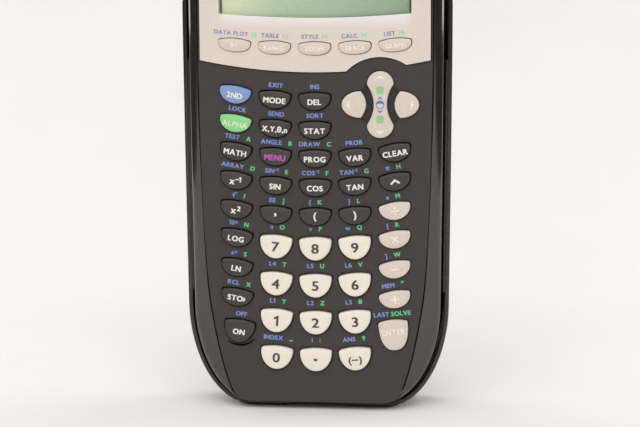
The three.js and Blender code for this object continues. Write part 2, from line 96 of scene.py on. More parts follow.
GAP = 0.3
SHOULDER = -8.6  # depth at which the wings end in the side walls
SHELL_WALL = 2
HOUSING = {"foot": 1.95, "x": 20.4, "z": 34.5, "reach": 19.3, "swell": 0.95, "top": LENGTH, "radius": 9}
CASE = {"foot": 0, "x": 21.5, "z": 34.5, "reach": 20.7, "swell": 0.85, "top": 132.3, "radius": 2.5}
CASE_TAPER = 0.9  # how much nearer the middle the case's sides are at the back
CASE_BACK = {"half": 38.5, "radius": 3}  # the case's back above its side walls
SWELL_Z = 105
PANEL = {"tip": 26.2, "half": 37.1, "straight": 110, "top": 186, "radius": 6}
PANEL_KNEE = (34, 35.8)
PANEL_LOW_BEND = (30.6, 13)
PANEL_HIGH_BEND = (36.5, 55)
BEZEL = {"half": 36.45, "foot": 108.4, "radius": 177, "top": 184, "corner": 5}
SCREEN = {"half": 30.1, "foot": 125.7, "rise": 1.4, "top": 167}
PITCH = 12.7
ROW_RADIUS = 153
BEZEL_ROW_RADIUS = 290
PAD = {"well": 7.4, "depth": 1.0, "surround": 14.9}
PAD_MIDDLE = (20.7, 98.3)
ROCKER = {"half": 4.2, "length": 21, "waist": 2.05, "kink": 6.4}
NUMBER_KEY_SINK = 0.06  # how far inside its CAD solid a number key's top lies
FUNCTION_GAP = 0.2
FUNCTION_LEAN = (0.1, 0.04)  # how far each function key's hole is to its right and above it
SIDE_KEY = {"inner": 4.5, "outer": 12.2, "corner": 6.2, "half": 4.2}
SMALL = (10, 5.5)
NUMBER = (10.2, 7.4)
FUNCTION = (10.2, 4.1)
ENTER = (9.4, 9.8)
ON = (9.8, 7.4)
LIP = {"from": 38, "to": 112, "back": -5.0}
FOOT_ARCH = {"rise": 1.35, "half": 11.5}
PAD_FEET = {"x": 14, "half": 4, "front": -4, "back": 8, "foot": 0.3}


# ---- outlines in the x-z plane ----

def arc(x, z, rx, rz, start, end, count):
    """Points along an ellipse, angles in degrees, without the last one."""
    steps = [radians(start + (end - start) * i / count) for i in range(count)]
    return [(x + rx * cos(a), z + rz * sin(a)) for a in steps]


def bend(a, b, c, count):
    """Points along a quadratic curve from a to c, without the last one."""
    points = []
    for i in range(count):
        t = i / count
        u = 1 - t
        points.append(tuple(u * u * p + 2 * u * t * q + t * t * r for p, q, r in zip(a, b, c)))
    return points


def line(a, b, count=1):
    """Points along a straight line, without the last one."""
    return [(a[0] + (b[0] - a[0]) * i / count, a[1] + (b[1] - a[1]) * i / count) for i in range(count)]


def mirrored(half):
    """A closed outline from its right half, which starts and ends on the middle line."""
    return half + [(-x, z) for x, z in reversed(half[1:-1])]


def both_sides(half):
    """A line from left to right from its right half, which starts on the middle line."""
    return [(-x, z) for x, z in reversed(half[1:])] + half


def body_half(spec, grow=0.0):
    """Right half of a long body outline, with a point where the wings of the housing end."""
    low = spec["foot"] - grow
    side = spec["x"] + spec["reach"] + grow
    wide = side + spec["swell"]
    crest = spec["top"] + grow
    radius = spec["radius"] + grow
    drop = spec["z"] - low
    reach = spec["reach"] + grow
    tip_angle = -degrees(acos((PANEL["tip"] - spec["x"]) / reach))
    points = line((0, low), (spec["x"], low), 24)
    points += arc(spec["x"], spec["z"], reach, drop, -90, tip_angle, 6)
    points += arc(spec["x"], spec["z"], reach, drop, tip_angle, 0, 40)
    points += bend((side, spec["z"]), (wide, SWELL_Z), (wide, crest - radius), 24)
    points += arc(wide - radius, crest - radius, radius, radius, 0, 90, 14)
    points += line((wide - radius, crest), (0, crest), 6)
    return points + [(0, crest)]


def body_outline(spec, grow=0.0):
    return mirrored(body_half(spec, grow))


TIP = 30  # number of the outline's point where the wings end


def panel_half():
    """Right half of the key panel, point for point beside the housing's outline."""
    half, crest, radius = PANEL["half"], PANEL["top"], PANEL["radius"]
    straight = (half, PANEL["straight"])
    points = body_half(HOUSING, -0.7)[:TIP + 1]
    points += bend(points.pop(), PANEL_LOW_BEND, PANEL_KNEE, 40)
    points += bend(PANEL_KNEE, PANEL_HIGH_BEND, straight, 12)
    points += line(straight, (half, crest - radius), 12)
    points += arc(half - radius, crest - radius, radius, radius, 0, 90, 14)
    points += line((half - radius, crest), (0, crest), 6)
    return points + [(0, crest)]


def key_outline(size, grow=0.0):
    """A keycap: arched top edge with small corners, and a deep round lower edge."""
    half = size[0] / 2 + grow
    top = size[1] / 2 + grow
    arch = 0.5
    corner = 0.9 + grow * 0.4
    side = top - arch - corner
    full = 2.4 if size in (FUNCTION, ENTER) else 2.0  # 2 is an ellipse, more is squarer
    points = []
    for i in range(30):
        a = pi * (1 + i / 30)
        c, s = cos(a), sin(a)
        x = half * copysign(abs(c) ** (2 / full), c)
        points.append((x, side - (side + top) * abs(s) ** (2 / full)))
    points += bend((half, side), (half, top - arch), (half - corner, top - arch), 7)
    points += bend((half - corner, top - arch), (0, top + arch), (corner - half, top - arch), 16)
    points += bend((corner - half, top - arch), (-half, top - arch), (-half, side), 7)
    return points


def rocker_outline(_, grow=0.0):
    half = ROCKER["half"] + grow
    end = ROCKER["length"] / 2 + grow
    waist = 2 * (ROCKER["waist"] + grow) - half
    kink = ROCKER["kink"]
    points = arc(0, kink, half, end - kink, 0, 180, 24)
    points += bend((-half, kink), (-waist, 0), (-half, -kink), 16)
    points += arc(0, -kink, half, end - kink, -180, 0, 24)
    return points + bend((half, -kink), (waist, 0), (half, kink), 16)


def side_key_outline(side, grow=0.0):
    half = SIDE_KEY["half"] + grow
    corner = SIDE_KEY["corner"]
    inner = 2 * (SIDE_KEY["inner"] - grow) - corner
    points = bend((corner, half), (inner, 0), (corner, -half), 14)
    points += arc(corner, 0, SIDE_KEY["outer"] + grow - corner, half, -90, 90, 28)
    return points if side > 0 else [(-x, z) for x, z in reversed(points)]


def bezel_outline(grow=0.0):
    half = BEZEL["half"] + grow
    foot = BEZEL["foot"] - grow
    crest = BEZEL["top"] + grow
    radius, corner = BEZEL["radius"], BEZEL["corner"]
    spread = asin(half / radius)
    side = foot + radius * (1 - cos(spread))
    spread = degrees(spread)
    points = arc(0, foot + radius, radius, radius, -90 - spread, -90 + spread, 48)
    points += line((half, side), (half, crest - corner), 4)
    points += arc(half - corner, crest - corner, corner, corner, 0, 90, 10)
    points += arc(corner - half, crest - corner, corner, corner, 90, 180, 10)
    return points + line((-half, crest - corner), (-half, side), 4)


def screen_outline(grow=0.0):
    half = SCREEN["half"] + grow
    low = SCREEN["foot"] + SCREEN["rise"] - grow
    top = SCREEN["top"] + grow
    points = bend((-half, low), (0, SCREEN["foot"] - SCREEN["rise"] - grow), (half, low), 24)
    return points + [(half, low), (half, top), (-half, top)]


def circle(x, z, radius, count=64):
    return arc(x, z, radius, radius, 0, 360, count)


def shifted(points, place):
    """Points turned clockwise by place's turn and moved to it."""
    x0, z0, turn = place
    c, s = cos(turn), sin(turn)
    return [(x0 + x * c + z * s, z0 - x * s + z * c) for x, z in points]


def between(a, b, share):
    return (a[0] + (b[0] - a[0]) * share, a[1] + (b[1] - a[1]) * share)


def middle_of(points):
    return tuple(sum(values) / len(points) for values in zip(*points))


# ---- meshes ----

def add_object(name, data):
    """A new object in the scene that shows a mesh, a light or a camera."""
    thing = bpy.data.objects.new(name, data)
    bpy.context.scene.collection.objects.link(thing)
    return thing


class Shape:
    """Vertices and faces of one piece, in millimetres."""

    def __init__(self):
        self.verts = []
        self.faces = []

    def row(self, points):
        """Adds a row of (x, y, z) points, and returns their numbers."""
        start = len(self.verts)
        self.verts += points
        return list(range(start, len(self.verts)))

    def ring(self, points, y):
        """Adds a row of (x, z) points at a depth, and returns their numbers."""
        return self.row([(x, y, z) for x, z in points])

    def join(self, rings, closed=True):
        """Joins rows of equally many points, each to the next."""
        for a, b in zip(rings, rings[1:]):
            for i in range(len(a) if closed else len(a) - 1):
                j = (i + 1) % len(a)
                self.faces.append((a[i], a[j], b[j], b[i]))
        return rings

    def loft(self, rows, closed=True):
        """Rows are (points, y), each joined to the next."""
        return self.join([self.ring(points, y) for points, y in rows], closed)

    def tube(self, sections):
        """Closed sections of (x, y, z) points, each joined to the next, with both ends filled."""
        rings = self.join([self.row(section) for section in sections])
        self.faces += [tuple(rings[0]), tuple(rings[-1])]

    def fan(self, ring, y):
        """Closes a ring with triangles to its middle."""
        x, z = middle_of([self.verts[i][::2] for i in ring])
        centre, = self.row([(x, y, z)])
        self.faces += [(a, b, centre) for a, b in zip(ring, ring[1:] + ring[:1])]

    def box(self, low, high):
        """A closed block."""
        (x0, y0, z0), (x1, y1, z1) = low, high
        self.tube([[(x0, y0, z), (x1, y0, z), (x1, y1, z), (x0, y1, z)] for z in (z0, z1)])

    def region(self, outlines, y, keep=None):
        """Triangles of a flat region at depth y, and its border as pairs of (x, z) points.

        keep says from the set of outlines that a triangle is in whether it belongs. Without it the
        region is the first outline, less the others.
        """
        keep = keep or (lambda inside: inside == {0})
        polygons = []
        for points in outlines:
            start = polygons[-1][-1] + 1 if polygons else 0
            polygons.append(list(range(start, start + len(points))))
        coords = [Vector(p) for points in outlines for p in points]
        verts, _, faces, _, _, origins = delaunay_2d_cdt(coords, [], polygons, 0, 1e-5)
        verts = [tuple(v) for v in verts]
        kept = [face for face, inside in zip(faces, origins) if keep(set(inside))]
        self.faces += [tuple(self.ring([verts[i] for i in face], y)) for face in kept]
        edges = {(a, b) for face in kept for a, b in zip(face, face[1:] + face[:1])}
        return [(verts[a], verts[b]) for a, b in sorted(edges) if (b, a) not in edges]

    def walls(self, border, y_from, y_to):
        """Walls along a border; y_to is a depth, or gives one or None for an edge's middle point."""
        for a, b in border:
            deep = y_to(((a[0] + b[0]) / 2, (a[1] + b[1]) / 2)) if callable(y_to) else y_to
            if deep is not None:
                corners = [(a, y_from), (b, y_from), (b, deep), (a, deep)]
                self.faces.append(tuple(self.row([(x, y, z) for (x, z), y in corners])))

    def piece(self, name, material, body, slot, smooth=35, merge=1e-3, bevel=0):
        """Makes the object, which rides on a CAD body."""
        mesh = bpy.data.meshes.new(name)
        mesh.from_pydata([Vector(v) for v in self.verts], [], self.faces)
        work = bmesh.new()
        work.from_mesh(mesh)
        if merge:
            bmesh.ops.remove_doubles(work, verts=work.verts, dist=merge)
            bmesh.ops.dissolve_degenerate(work, edges=work.edges, dist=merge / 10)
        bmesh.ops.recalc_face_normals(work, faces=work.faces)
        bmesh.ops.scale(work, vec=(MM, MM, MM), verts=work.verts)
        work.to_mesh(mesh)
        work.free()
        mesh.polygons.foreach_set("use_smooth", [True] * len(mesh.polygons))
        mesh.set_sharp_from_angle(angle=radians(smooth))
        mesh.materials.append(material)
        piece = add_object(name, mesh)
        if bevel:
            edge = piece.modifiers.new("eased_edges", "BEVEL")
            edge.width = bevel * MM
            edge.segments = 3
            edge.limit_method = "ANGLE"
            edge.angle_limit = radians(50)
            edge.harden_normals = True
        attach(piece, body)
        return piece


# ---- materials ----

def srgb(r, g, b):
    """A linear colour from 0-255 display values."""
    linear = [c / 255 / 12.92 if c <= 10 else ((c / 255 + 0.055) / 1.055) ** 2.4 for c in (r, g, b)]
    return (*linear, 1)


def grey(value):
    return (value, value, value, 1)


def feed(tree, socket, value):
    """Gives a socket a value or another node's output."""
    if isinstance(value, bpy.types.NodeSocket):
        tree.links.new(value, socket)
    else:
        socket.default_value = value


def add_node(tree, kind, inputs, output=0, **settings):
    """The output of a new node, from its inputs by name or number."""
    node = tree.nodes.new("ShaderNode" + kind)
    for name, value in settings.items():
        setattr(node, name, value)
    for name, value in inputs.items():
        feed(tree, node.inputs[name], value)
    return node.outputs[output]


def mixed(tree, factor, a, b, blend="MIX"):
    inputs = {"Factor": factor, "A": a, "B": b}
    return add_node(tree, "Mix", inputs, "Result", data_type="RGBA", blend_type=blend)


class Look:
    """A Principled material whose colour, roughness and relief come from noise."""

    def __init__(self, name):
        self.material = bpy.data.materials.new(name)
        self.material.use_nodes = True
        self.tree = self.material.node_tree
        self.shader = self.tree.nodes["Principled BSDF"]
        self.place = self.node("TexCoord", {}, "Object")

    def node(self, kind, inputs, output=0, **settings):
        return add_node(self.tree, kind, inputs, output, **settings)

    def set(self, socket, value):
        feed(self.tree, self.shader.inputs[socket], value)

    def along(self, axis):
        """The place along an axis, in metres."""
        return self.node("SeparateXYZ", {"Vector": self.place}, axis)

    def noise(self, per_mm, detail=2.0):
        """Noise with so many lumps to the millimetre."""
        return self.node("TexNoise", {"Vector": self.place, "Scale": per_mm / MM, "Detail": detail}, "Fac")

    def ramp(self, factor, *stops):
        """A colour that runs through (position, colour) stops along a factor."""
        node = self.tree.nodes.new("ShaderNodeValToRGB")
        elements = node.color_ramp.elements
        for i, (position, colour) in enumerate(stops):
            element = elements[i] if i < 2 else elements.new(position)
            element.position = position
            element.color = colour
        feed(self.tree, node.inputs["Fac"], factor)
        return node.outputs["Color"]

    def colour(self, factor, dark, light, low=0.35, high=0.65):
        """The base colour runs from dark to light along a factor."""
        self.set("Base Color", self.ramp(factor, (low, dark), (high, light)))

    def roughness(self, factor, low, high):
        spread = {"Value": factor, "From Min": 0.3, "From Max": 0.7, "To Min": low, "To Max": high}
        self.set("Roughness", self.node("MapRange", spread))

    def relief(self, factor, height_mm):
        self.set("Normal", self.node("Bump", {"Height": factor, "Distance": height_mm * MM}))


def plastic(name, dark, light, grain, relief, rough, specular=0.5):
    """Moulded plastic: grain is the texture's lumps to the millimetre, relief its depth in mm."""
    look = Look(name)
    look.colour(look.noise(grain, 3), srgb(*dark), srgb(*light))
    look.roughness(look.noise(0.15, 4), *rough)
    look.relief(look.noise(grain, 1), relief)
    look.set("Specular IOR Level", specular)
    return look.material


def ink(name, colour, faded):
    """Printed legend, a little uneven where it has rubbed thin."""
    look = Look(name)
    look.colour(look.noise(1.6, 4), srgb(*faded), srgb(*colour), 0.3, 0.55)
    look.roughness(look.noise(3), 0.4, 0.6)
    look.relief(look.noise(5), 0.01)
    return look.material


def metal(name, dark, light, rough):
    look = Look(name)
    look.colour(look.noise(0.8, 4), dark, light)
    look.roughness(look.noise(2, 4), *rough)
    look.relief(look.noise(6), 0.004)
    look.set("Metallic", 1.0)
    return look.material


def display():
    """The reflective display: grey-green, with painted light that makes it paler and warmer towards its left
    and darker towards its right, and a faint grid of pixels.
    """
    look = Look("display")
    half = SCREEN["half"] * MM
    across = look.node("MapRange", {"Value": look.along("X"), "From Min": -half, "From Max": half})
    # painted light: the colour runs from bright and warm at the left to darker at the right, standing in for
    # how the light falls across the display
    painted_light_tint = look.ramp(across, (0, srgb(242, 244, 212)), (0.3, srgb(192, 214, 182)), (1, srgb(153, 178, 154)))
    flat = look.node("CombineXYZ", {"X": look.along("X"), "Y": look.along("Z")})
    bricks = {"Vector": flat, "Scale": 1 / MM, "Brick Width": 0.6, "Row Height": 0.6, "Mortar Size": 0.03,
              "Color1": grey(1), "Color2": grey(0.97), "Mortar": grey(0.86)}
    cells = look.node("TexBrick", bricks, "Color", offset=0)
    look.set("Base Color", mixed(look.tree, 1, painted_light_tint, cells, "MULTIPLY"))
    look.roughness(look.noise(0.5), 0.25, 0.35)
    return look.material


def lens():
    """The clear screen window: a faint veil over what is behind it, uneven in its gloss."""
    look = Look("window_lens")
    look.colour(look.noise(0.1, 3), (0.72, 0.78, 0.6, 1), (0.8, 0.84, 0.7, 1))
    look.roughness(look.noise(0.2, 4), 0.02, 0.06)
    look.set("Alpha", 0.05)
    return look.material


def bezel_plastic():
    """Light satin plastic, with a painted highlight that makes the sloping band under the screen paler."""
    look = Look("bezel_plastic")
    plain = look.ramp(look.noise(4, 3), (0.35, srgb(226, 213, 204)), (0.65, srgb(234, 222, 213)))
    half, foot = SCREEN["half"], SCREEN["foot"]
    # painted highlight: a mask over the sloping band just under the screen, where the colour is mixed paler
    # as if that slope caught more light
    slope_highlight = 1
    for axis, start, end in (("Z", foot - 4.2, foot + 0.4), ("Z", foot + 3, foot + 2),
                             ("X", -half - 1, -half + 2), ("X", half + 1, half - 2)):
        span = {"Value": look.along(axis), "From Min": start * MM, "From Max": end * MM}
        share = look.node("MapRange", span, interpolation_type="SMOOTHSTEP")
        slope_highlight = look.node("Math", {0: slope_highlight, 1: share}, operation="MULTIPLY")
    look.set("Base Color", mixed(look.tree, slope_highlight, plain, srgb(236, 232, 228)))
    look.roughness(look.noise(0.15, 4), 0.38, 0.48)
    look.relief(look.noise(4, 1), 0.004)
    return look.material


MATTE = plastic("panel_plastic", (58, 54, 54), (72, 67, 66), 5, 0.012, (0.5, 0.62), 0.35)
GLOSS = plastic("wing_plastic", (36, 31, 29), (42, 36, 34), 0.5, 0.0006, (0.07, 0.12), 1.0)
REAR = plastic("rear_plastic", (44, 41, 41), (54, 50, 50), 5, 0.015, (0.5, 0.62), 0.4)
CASE_PLASTIC = plastic("case_plastic", (42, 36, 34), (50, 43, 40), 0.5, 0.0006, (0.12, 0.18), 0.6)
SILVER = bezel_plastic()
DARK_KEY = plastic("dark_key_plastic", (56, 52, 51), (66, 61, 60), 4, 0.006, (0.42, 0.52))
PALE_KEY = plastic("pale_key_plastic", (220, 206, 193), (229, 216, 203), 3, 0.004, (0.4, 0.5))
WHITE_KEY = plastic("white_key_plastic", (241, 232, 218), (247, 239, 226), 3, 0.003, (0.35, 0.45))
BLUE_KEY = plastic("blue_key_plastic", (126, 155, 200), (138, 166, 210), 3, 0.004, (0.4, 0.5))
GREEN_KEY = plastic("green_key_plastic", (142, 212, 142), (156, 222, 154), 3, 0.004, (0.4, 0.5))
# dark brownish plastic for the strips at the display's side edges, painted shade for the recess's shadow
# there
EDGE_SHADE = plastic("painted_edge_shade", (36, 30, 16), (46, 40, 24), 3, 0.01, (0.6, 0.75), 0.3)
WELL_PLASTIC = plastic("well_plastic", (28, 27, 30), (34, 33, 36), 2, 0.002, (0.12, 0.2), 0.6)
SILICONE = plastic("keypad_silicone", (52, 52, 54), (60, 60, 62), 2, 0.01, (0.7, 0.8), 0.3)
SOLDER_MASK = plastic("board_resin", (24, 84, 48), (34, 104, 60), 1, 0.01, (0.35, 0.5))
SLEEVE = plastic("cell_sleeve", (150, 152, 156), (172, 174, 178), 1, 0.006, (0.3, 0.4))
STEEL = metal("bright_steel", (0.5, 0.5, 0.5, 1), (0.68, 0.67, 0.66, 1), (0.22, 0.34))
WHITE_INK = ink("white_ink", (246, 242, 236), (226, 220, 213))
GREY_INK = ink("grey_ink", (70, 64, 62), (92, 85, 82))
BLUE_INK = ink("blue_ink", (130, 152, 214), (116, 136, 198))
GREEN_INK = ink("green_ink", (108, 208, 146), (92, 188, 128))
PALE_BLUE_INK = ink("pale_blue_ink", (142, 148, 186), (164, 167, 196))
PALE_GREEN_INK = ink("pale_green_ink", (160, 226, 178), (178, 232, 192))
PINK_INK = ink("pink_ink", (190, 102, 176), (170, 88, 158))
LEAF_INK = ink("leaf_ink", (226, 246, 212), (212, 236, 198))
SOFT_GREEN_INK = ink("soft_green_ink", (150, 204, 146), (172, 210, 164))
CREAM_INK = ink("cream_ink", (255, 249, 238), (244, 236, 224))
DEEP_BLUE_INK = ink("deep_blue_ink", (70, 130, 200), (60, 112, 180))


# ---- lettering ----

FONT_CAP = 0.73  # height of a capital of the built-in typeface at size 1
LETTER_GAP = 0.2  # between letters, in heights of a capital
WORD_GAP = 0.5
RAISED = (0.7, 0.45)  # size of a superscript and how high it stands
STEM = 0.13  # width of a drawn sign's strokes
BAR_LENGTH = 0.2
BAR_STEP = 0.0007  # so that no two faces of a legend lie in one plane, in mm
COPY_STEP = 0.003  # likewise, between the copies that thicken a letter


def stroke(points):
    """Short overlapping bars along a line, as four corners each."""
    bars = []
    for (x0, z0), (x1, z1) in zip(points, points[1:]):
        reach = hypot(x1 - x0, z1 - z0)
        ux, uz = (x1 - x0) / reach * STEM / 2, (z1 - z0) / reach * STEM / 2
        stops = line((x0, z0), (x1, z1), ceil(reach / BAR_LENGTH)) + [(x1, z1)]
        for (ax, az), (bx, bz) in zip(stops, stops[1:]):
            bars.append([(ax - ux - uz, az - uz + ux), (ax - ux + uz, az - uz - ux),
                         (bx + ux + uz, bz + uz - ux), (bx + ux - uz, bz + uz + ux)])
    return bars


def drawn(*lines):
    """A sign of strokes as (verts, faces), each bar a little proud of the one before."""
    bars = [bar for points in lines for bar in stroke(points)]
    verts = [(x, z, i * BAR_STEP) for i, bar in enumerate(bars) for x, z in bar]
    return verts, [tuple(range(4 * i, 4 * i + 4)) for i in range(len(bars))]


THETA = arc(0.33, 0.5, 0.3, 0.44, 0, 360, 20)
LETTERS = {  # the signs drawn by strokes, to which letter() adds those of the typeface
    "1": drawn([(0, 0.78), (0.24, 0.94), (0.24, 0.06)]),
    "+": drawn([(0, 0.45), (0.7, 0.45)], [(0.35, 0.1), (0.35, 0.8)]),
    "-": drawn([(0, 0.45), (0.42, 0.45)]),
    "−": drawn([(0, 0.45), (0.72, 0.45)]),
    "×": drawn([(0.05, 0.18), (0.6, 0.73)], [(0.05, 0.73), (0.6, 0.18)]),
    "÷": drawn([(0, 0.45), (0.72, 0.45)], [(0.35, 0.78), (0.37, 0.78)], [(0.35, 0.12), (0.37, 0.12)]),
    "∧": drawn([(0, 0.3), (0.4, 0.62), (0.8, 0.3)]),
    "›": drawn([(0, 0.7), (0.16, 0.45), (0, 0.2)]),
    "√": drawn([(0, 0.5), (0.14, 0.5), (0.32, 0.06), (0.52, 0.94), (1.0, 0.94)]),
    "π": drawn([(0, 0.66), (0.72, 0.66)], [(0.2, 0.66), (0.16, 0.06)], [(0.53, 0.66), (0.57, 0.06)]),
    "θ": drawn(THETA + THETA[:1], [(0.15, 0.5), (0.5, 0.5)]),
    "?": drawn(arc(0.25, 0.7, 0.23, 0.23, 170, -80, 10) + [(0.29, 0.47), (0.27, 0.32)],
               [(0.26, 0.05), (0.28, 0.05)]),
    ":": drawn([(0.05, 0.1), (0.07, 0.1)], [(0.05, 0.6), (0.07, 0.6)]),
    "_": drawn([(0, 0.18), (0, 0.04), (0.5, 0.04), (0.5, 0.18)]),
    "”": drawn([(0.06, 0.98), (0, 0.74)], [(0.34, 0.98), (0.28, 0.74)]),
    ".": drawn([(0.04, 0.1), (0.1, 0.1)]),
}


def letter(sign):
    """A flat letter a capital high standing on z = 0, with its left edge at x = 0."""
    if sign not in LETTERS:
        curve = bpy.data.curves.new("letter", "FONT")
        curve.body = sign
        curve.resolution_u = 3
        carrier = add_object("letter", curve)
        mesh = bpy.data.meshes.new_from_object(carrier)
        left = min(v.co.x for v in mesh.vertices)
        verts = [((v.co.x - left) / FONT_CAP, v.co.y / FONT_CAP, 0) for v in mesh.vertices]
        LETTERS[sign] = (verts, [tuple(p.vertices) for p in mesh.polygons])
        bpy.data.objects.remove(carrier)
        bpy.data.curves.remove(curve)
        bpy.data.meshes.remove(mesh)
    return LETTERS[sign]


def glyphs(text, cap_height, weight):
    """Flat letters as (verts, faces), centred on the middle of the caps.

    A vertex is x, z and how proud it stands, in millimetres. Whatever follows a bar is raised.
    The weight thickens every stroke by that much each way.
    """
    verts, faces = [], []
    at, size, rise = 0, 1, 0
    for sign in text:
        if sign == "|":
            size, rise = RAISED
            continue
        if sign == " ":
            at += WORD_GAP
            continue
        letter_verts, letter_faces = letter(sign)
        for copy, (dx, dz) in enumerate(((-1, -0.6), (1, -0.6), (1, 0.6), (-1, 0.6))):
            start = len(verts)
            verts += [((at + x * size) * cap_height + dx * weight,
                       (z * size + rise - 0.5) * cap_height + dz * weight,
                       proud + copy * COPY_STEP) for x, z, proud in letter_verts]
            faces += [tuple(start + i for i in face) for face in letter_faces]
        at += (max(vert[0] for vert in letter_verts) + LETTER_GAP) * size
    middle = (max(vert[0] for vert in verts) + min(vert[0] for vert in verts)) / 2
    return [(x - middle, z, proud) for x, z, proud in verts], faces


def width_of(verts):
    return max(vert[0] for vert in verts) - min(vert[0] for vert in verts)


def printed(shape, drawing, place, depth, offset=(0, 0), squeeze=1.0):
    """Adds a flat drawing to a shape; depth gives the surface's y at a point of the drawing."""
    verts, faces = drawing
    local = [(x * squeeze + offset[0], z + offset[1]) for x, z, _ in verts]
    start = len(shape.verts)
    for point, (x, z), (_, _, proud) in zip(local, shifted(local, place), verts):
        shape.verts.append((x, depth(*point) - proud, z))
    shape.faces += [tuple(start + i for i in face) for face in faces]


# ---- key layout ----

class Key:
    """One key of the panel: where it is, its shape, finish and legend."""

    def __init__(self, name, column, foot, size=SMALL, finish="dark", legend="", blue="", green="",
                 ink=None, radius=ROW_RADIUS, turn=None):
        x = column * PITCH
        self.name = name
        self.size = size
        self.finish = finish
        self.legend = legend
        self.blue = blue
        self.green = green
        self.ink = ink
        self.top = NUMBER_KEY_TOP + NUMBER_KEY_SINK if finish == "white" else KEY_TOP
        self.place = (x, foot + x * x / (2 * radius), -x / radius if turn is None else turn)


def row(foot, cells, start=-2, **shared):
    """Keys of one row from (name without key_, legend, blue print, green print, other settings)."""
    keys = []
    for i, (name, legend, blue, green, *other) in enumerate(cells):
        settings = {**shared, **(other[0] if other else {})}
        keys.append(Key("key_" + name, start + i, foot, legend=legend, blue=blue, green=green, **settings))
    return keys


PALE = {"finish": "pale"}
KEYS = row(115.85, [
    ("function_1", "Y=", "DATA PLOT", "F1"),
    ("function_2", "RANGE", "TABLE", "F2"),
    ("function_3", "ZOOM", "STYLE", "F3"),
    ("function_4", "TRACE", "CALC", "F4"),
    ("function_5", "GRAPH", "LIST", "F5"),
], size=FUNCTION, finish="pale", radius=BEZEL_ROW_RADIUS)
KEYS += row(99.2, [
    ("second", "2ND", "", "", {"finish": "blue"}),
    ("mode", "MODE", "EXIT", ""),
    ("delete", "DEL", "INS", ""),
])
KEYS += row(90.1, [
    ("alpha", "ALPHA", "LOCK", "", {"finish": "green"}),
    ("variable", "X,Y,θ,n", "SEND", ""),
    ("statistics", "STAT", "SORT", ""),
])
KEYS += row(81.1, [
    ("math", "MATH", "TEST", "A"),
    ("menu", "MENU", "ANGLE", "B", {"ink": PINK_INK}),
    ("program", "PROG", "DRAW", "C"),
    ("memory", "VAR", "PROB", ""),
    ("clear", "CLEAR", "", ""),
])
KEYS += row(71.9, [
    ("inverse", "x|-1", "ARRAY", "D"),
    ("sine", "SIN", "SIN|-1", "E"),
    ("cosine", "COS", "COS|-1", "F"),
    ("tangent", "TAN", "TAN|-1", "G"),
    ("power", "∧", "π", "H"),
])
KEYS += row(62.6, [
    ("square", "x|2", "√", "I"),
    ("comma", ",", "EE", "J"),
    ("open_bracket", "(", "{", "K"),
    ("close_bracket", ")", "}", "L"),
    ("divide", "÷", "e", "M", PALE),
])
OUTER_ROWS = [
    (53.5, ("logarithm", "LOG", "10|x", "N"), ("multiply", "×", "[", "R", PALE)),
    (43.9, ("natural_logarithm", "LN", "e|x", "S"), ("subtract", "−", "]", "W", PALE)),
    (34.3, ("store", "STO›", "RCL", "X"), ("add", "+", "MEM", "”", PALE)),
]
for foot, left, right in OUTER_ROWS:
    KEYS += row(foot, [left]) + row(foot, [right], start=2)
KEYS += row(23.45, [("on", "ON", "OFF", "", {"size": ON, "turn": 0.13})], start=-1.95)
KEYS += row(22.9, [("enter", "ENTER", "LAST", "SOLVE", {"size": ENTER, "turn": -0.09, **PALE})], start=1.97)
NUMBER_ROWS = [
    (52.4, [("7", "7", "u", "O"), ("8", "8", "v", "P"), ("9", "9", "w", "Q")]),
    (40.45, [("4", "4", "L4", "T"), ("5", "5", "L5", "U"), ("6", "6", "L6", "V")]),
    (28.5, [("1", "1", "L1", "Y"), ("2", "2", "L2", "Z"), ("3", "3", "L3", "θ")]),
    (16.5, [("0", "0", "INDEX", "_"), ("point", ".", "i", ":"), ("negative", "(−)", "ANS", "?")]),
]
for foot, cells in NUMBER_ROWS:
    KEYS += row(foot, cells, start=-1, size=NUMBER, finish="white")
FUNCTION_KEYS = [key for key in KEYS if key.size == FUNCTION]
PANEL_KEYS = [key for key in KEYS if key.size != FUNCTION]

FINISHES = {
    "dark": (DARK_KEY, "dark_key", WHITE_INK),
    "pale": (PALE_KEY, "pale_key", CREAM_INK),
    "white": (WHITE_KEY, "number_key", GREY_INK),
    "blue": (BLUE_KEY, "blue_key", WHITE_INK),
    "green": (GREEN_KEY, "green_key", LEAF_INK),
}
PAD_PLACE = (*PAD_MIDDLE, 0)
PAD_KEYS = [("key_up_down", rocker_outline, 0), ("key_left", side_key_outline, -1),
            ("key_right", side_key_outline, 1)]


# ---- keycaps ----

EDGE = 0.45  # radius of a keycap's top edge
CROWN = 0.22  # how far its top falls from the middle to the edge
PRINT_LIFT = 0.035  # legends stand this far proud of what they are printed on


def keycap(name, outline, spec, place, top, finish):
    """A keycap with a straight skirt, a rounded top edge and a slightly crowned top.

    Returns a function that gives the depth of prints on the top.
    """
    shape = Shape()
    ground = outline(spec, -EDGE)
    centre = middle_of(ground)
    rows = [(outline(spec), KEY_BACK), (outline(spec), top + CROWN + EDGE)]
    for step in (1, 2, 3):
        a = radians(30 * step)
        rows.append((outline(spec, -EDGE * (1 - cos(a))), top + CROWN + EDGE * (1 - sin(a))))
    for share in (0.8, 0.55, 0.3):
        rows.append(([between(centre, point, share) for point in ground], top + CROWN * share * share))
    rings = shape.loft([(shifted(points, place), y) for points, y in rows])
    shape.faces.append(tuple(reversed(rings[0])))
    shape.fan(rings[-1], top)
    material, slot, _ = FINISHES[finish]
    piece = shape.piece(name + "_cap", material, name, slot, smooth=50)
    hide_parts(name)

    def surface(x, z):
        share = reach_share(centre, ground, (x, z))
        return top + CROWN * share * share - PRINT_LIFT

    return surface


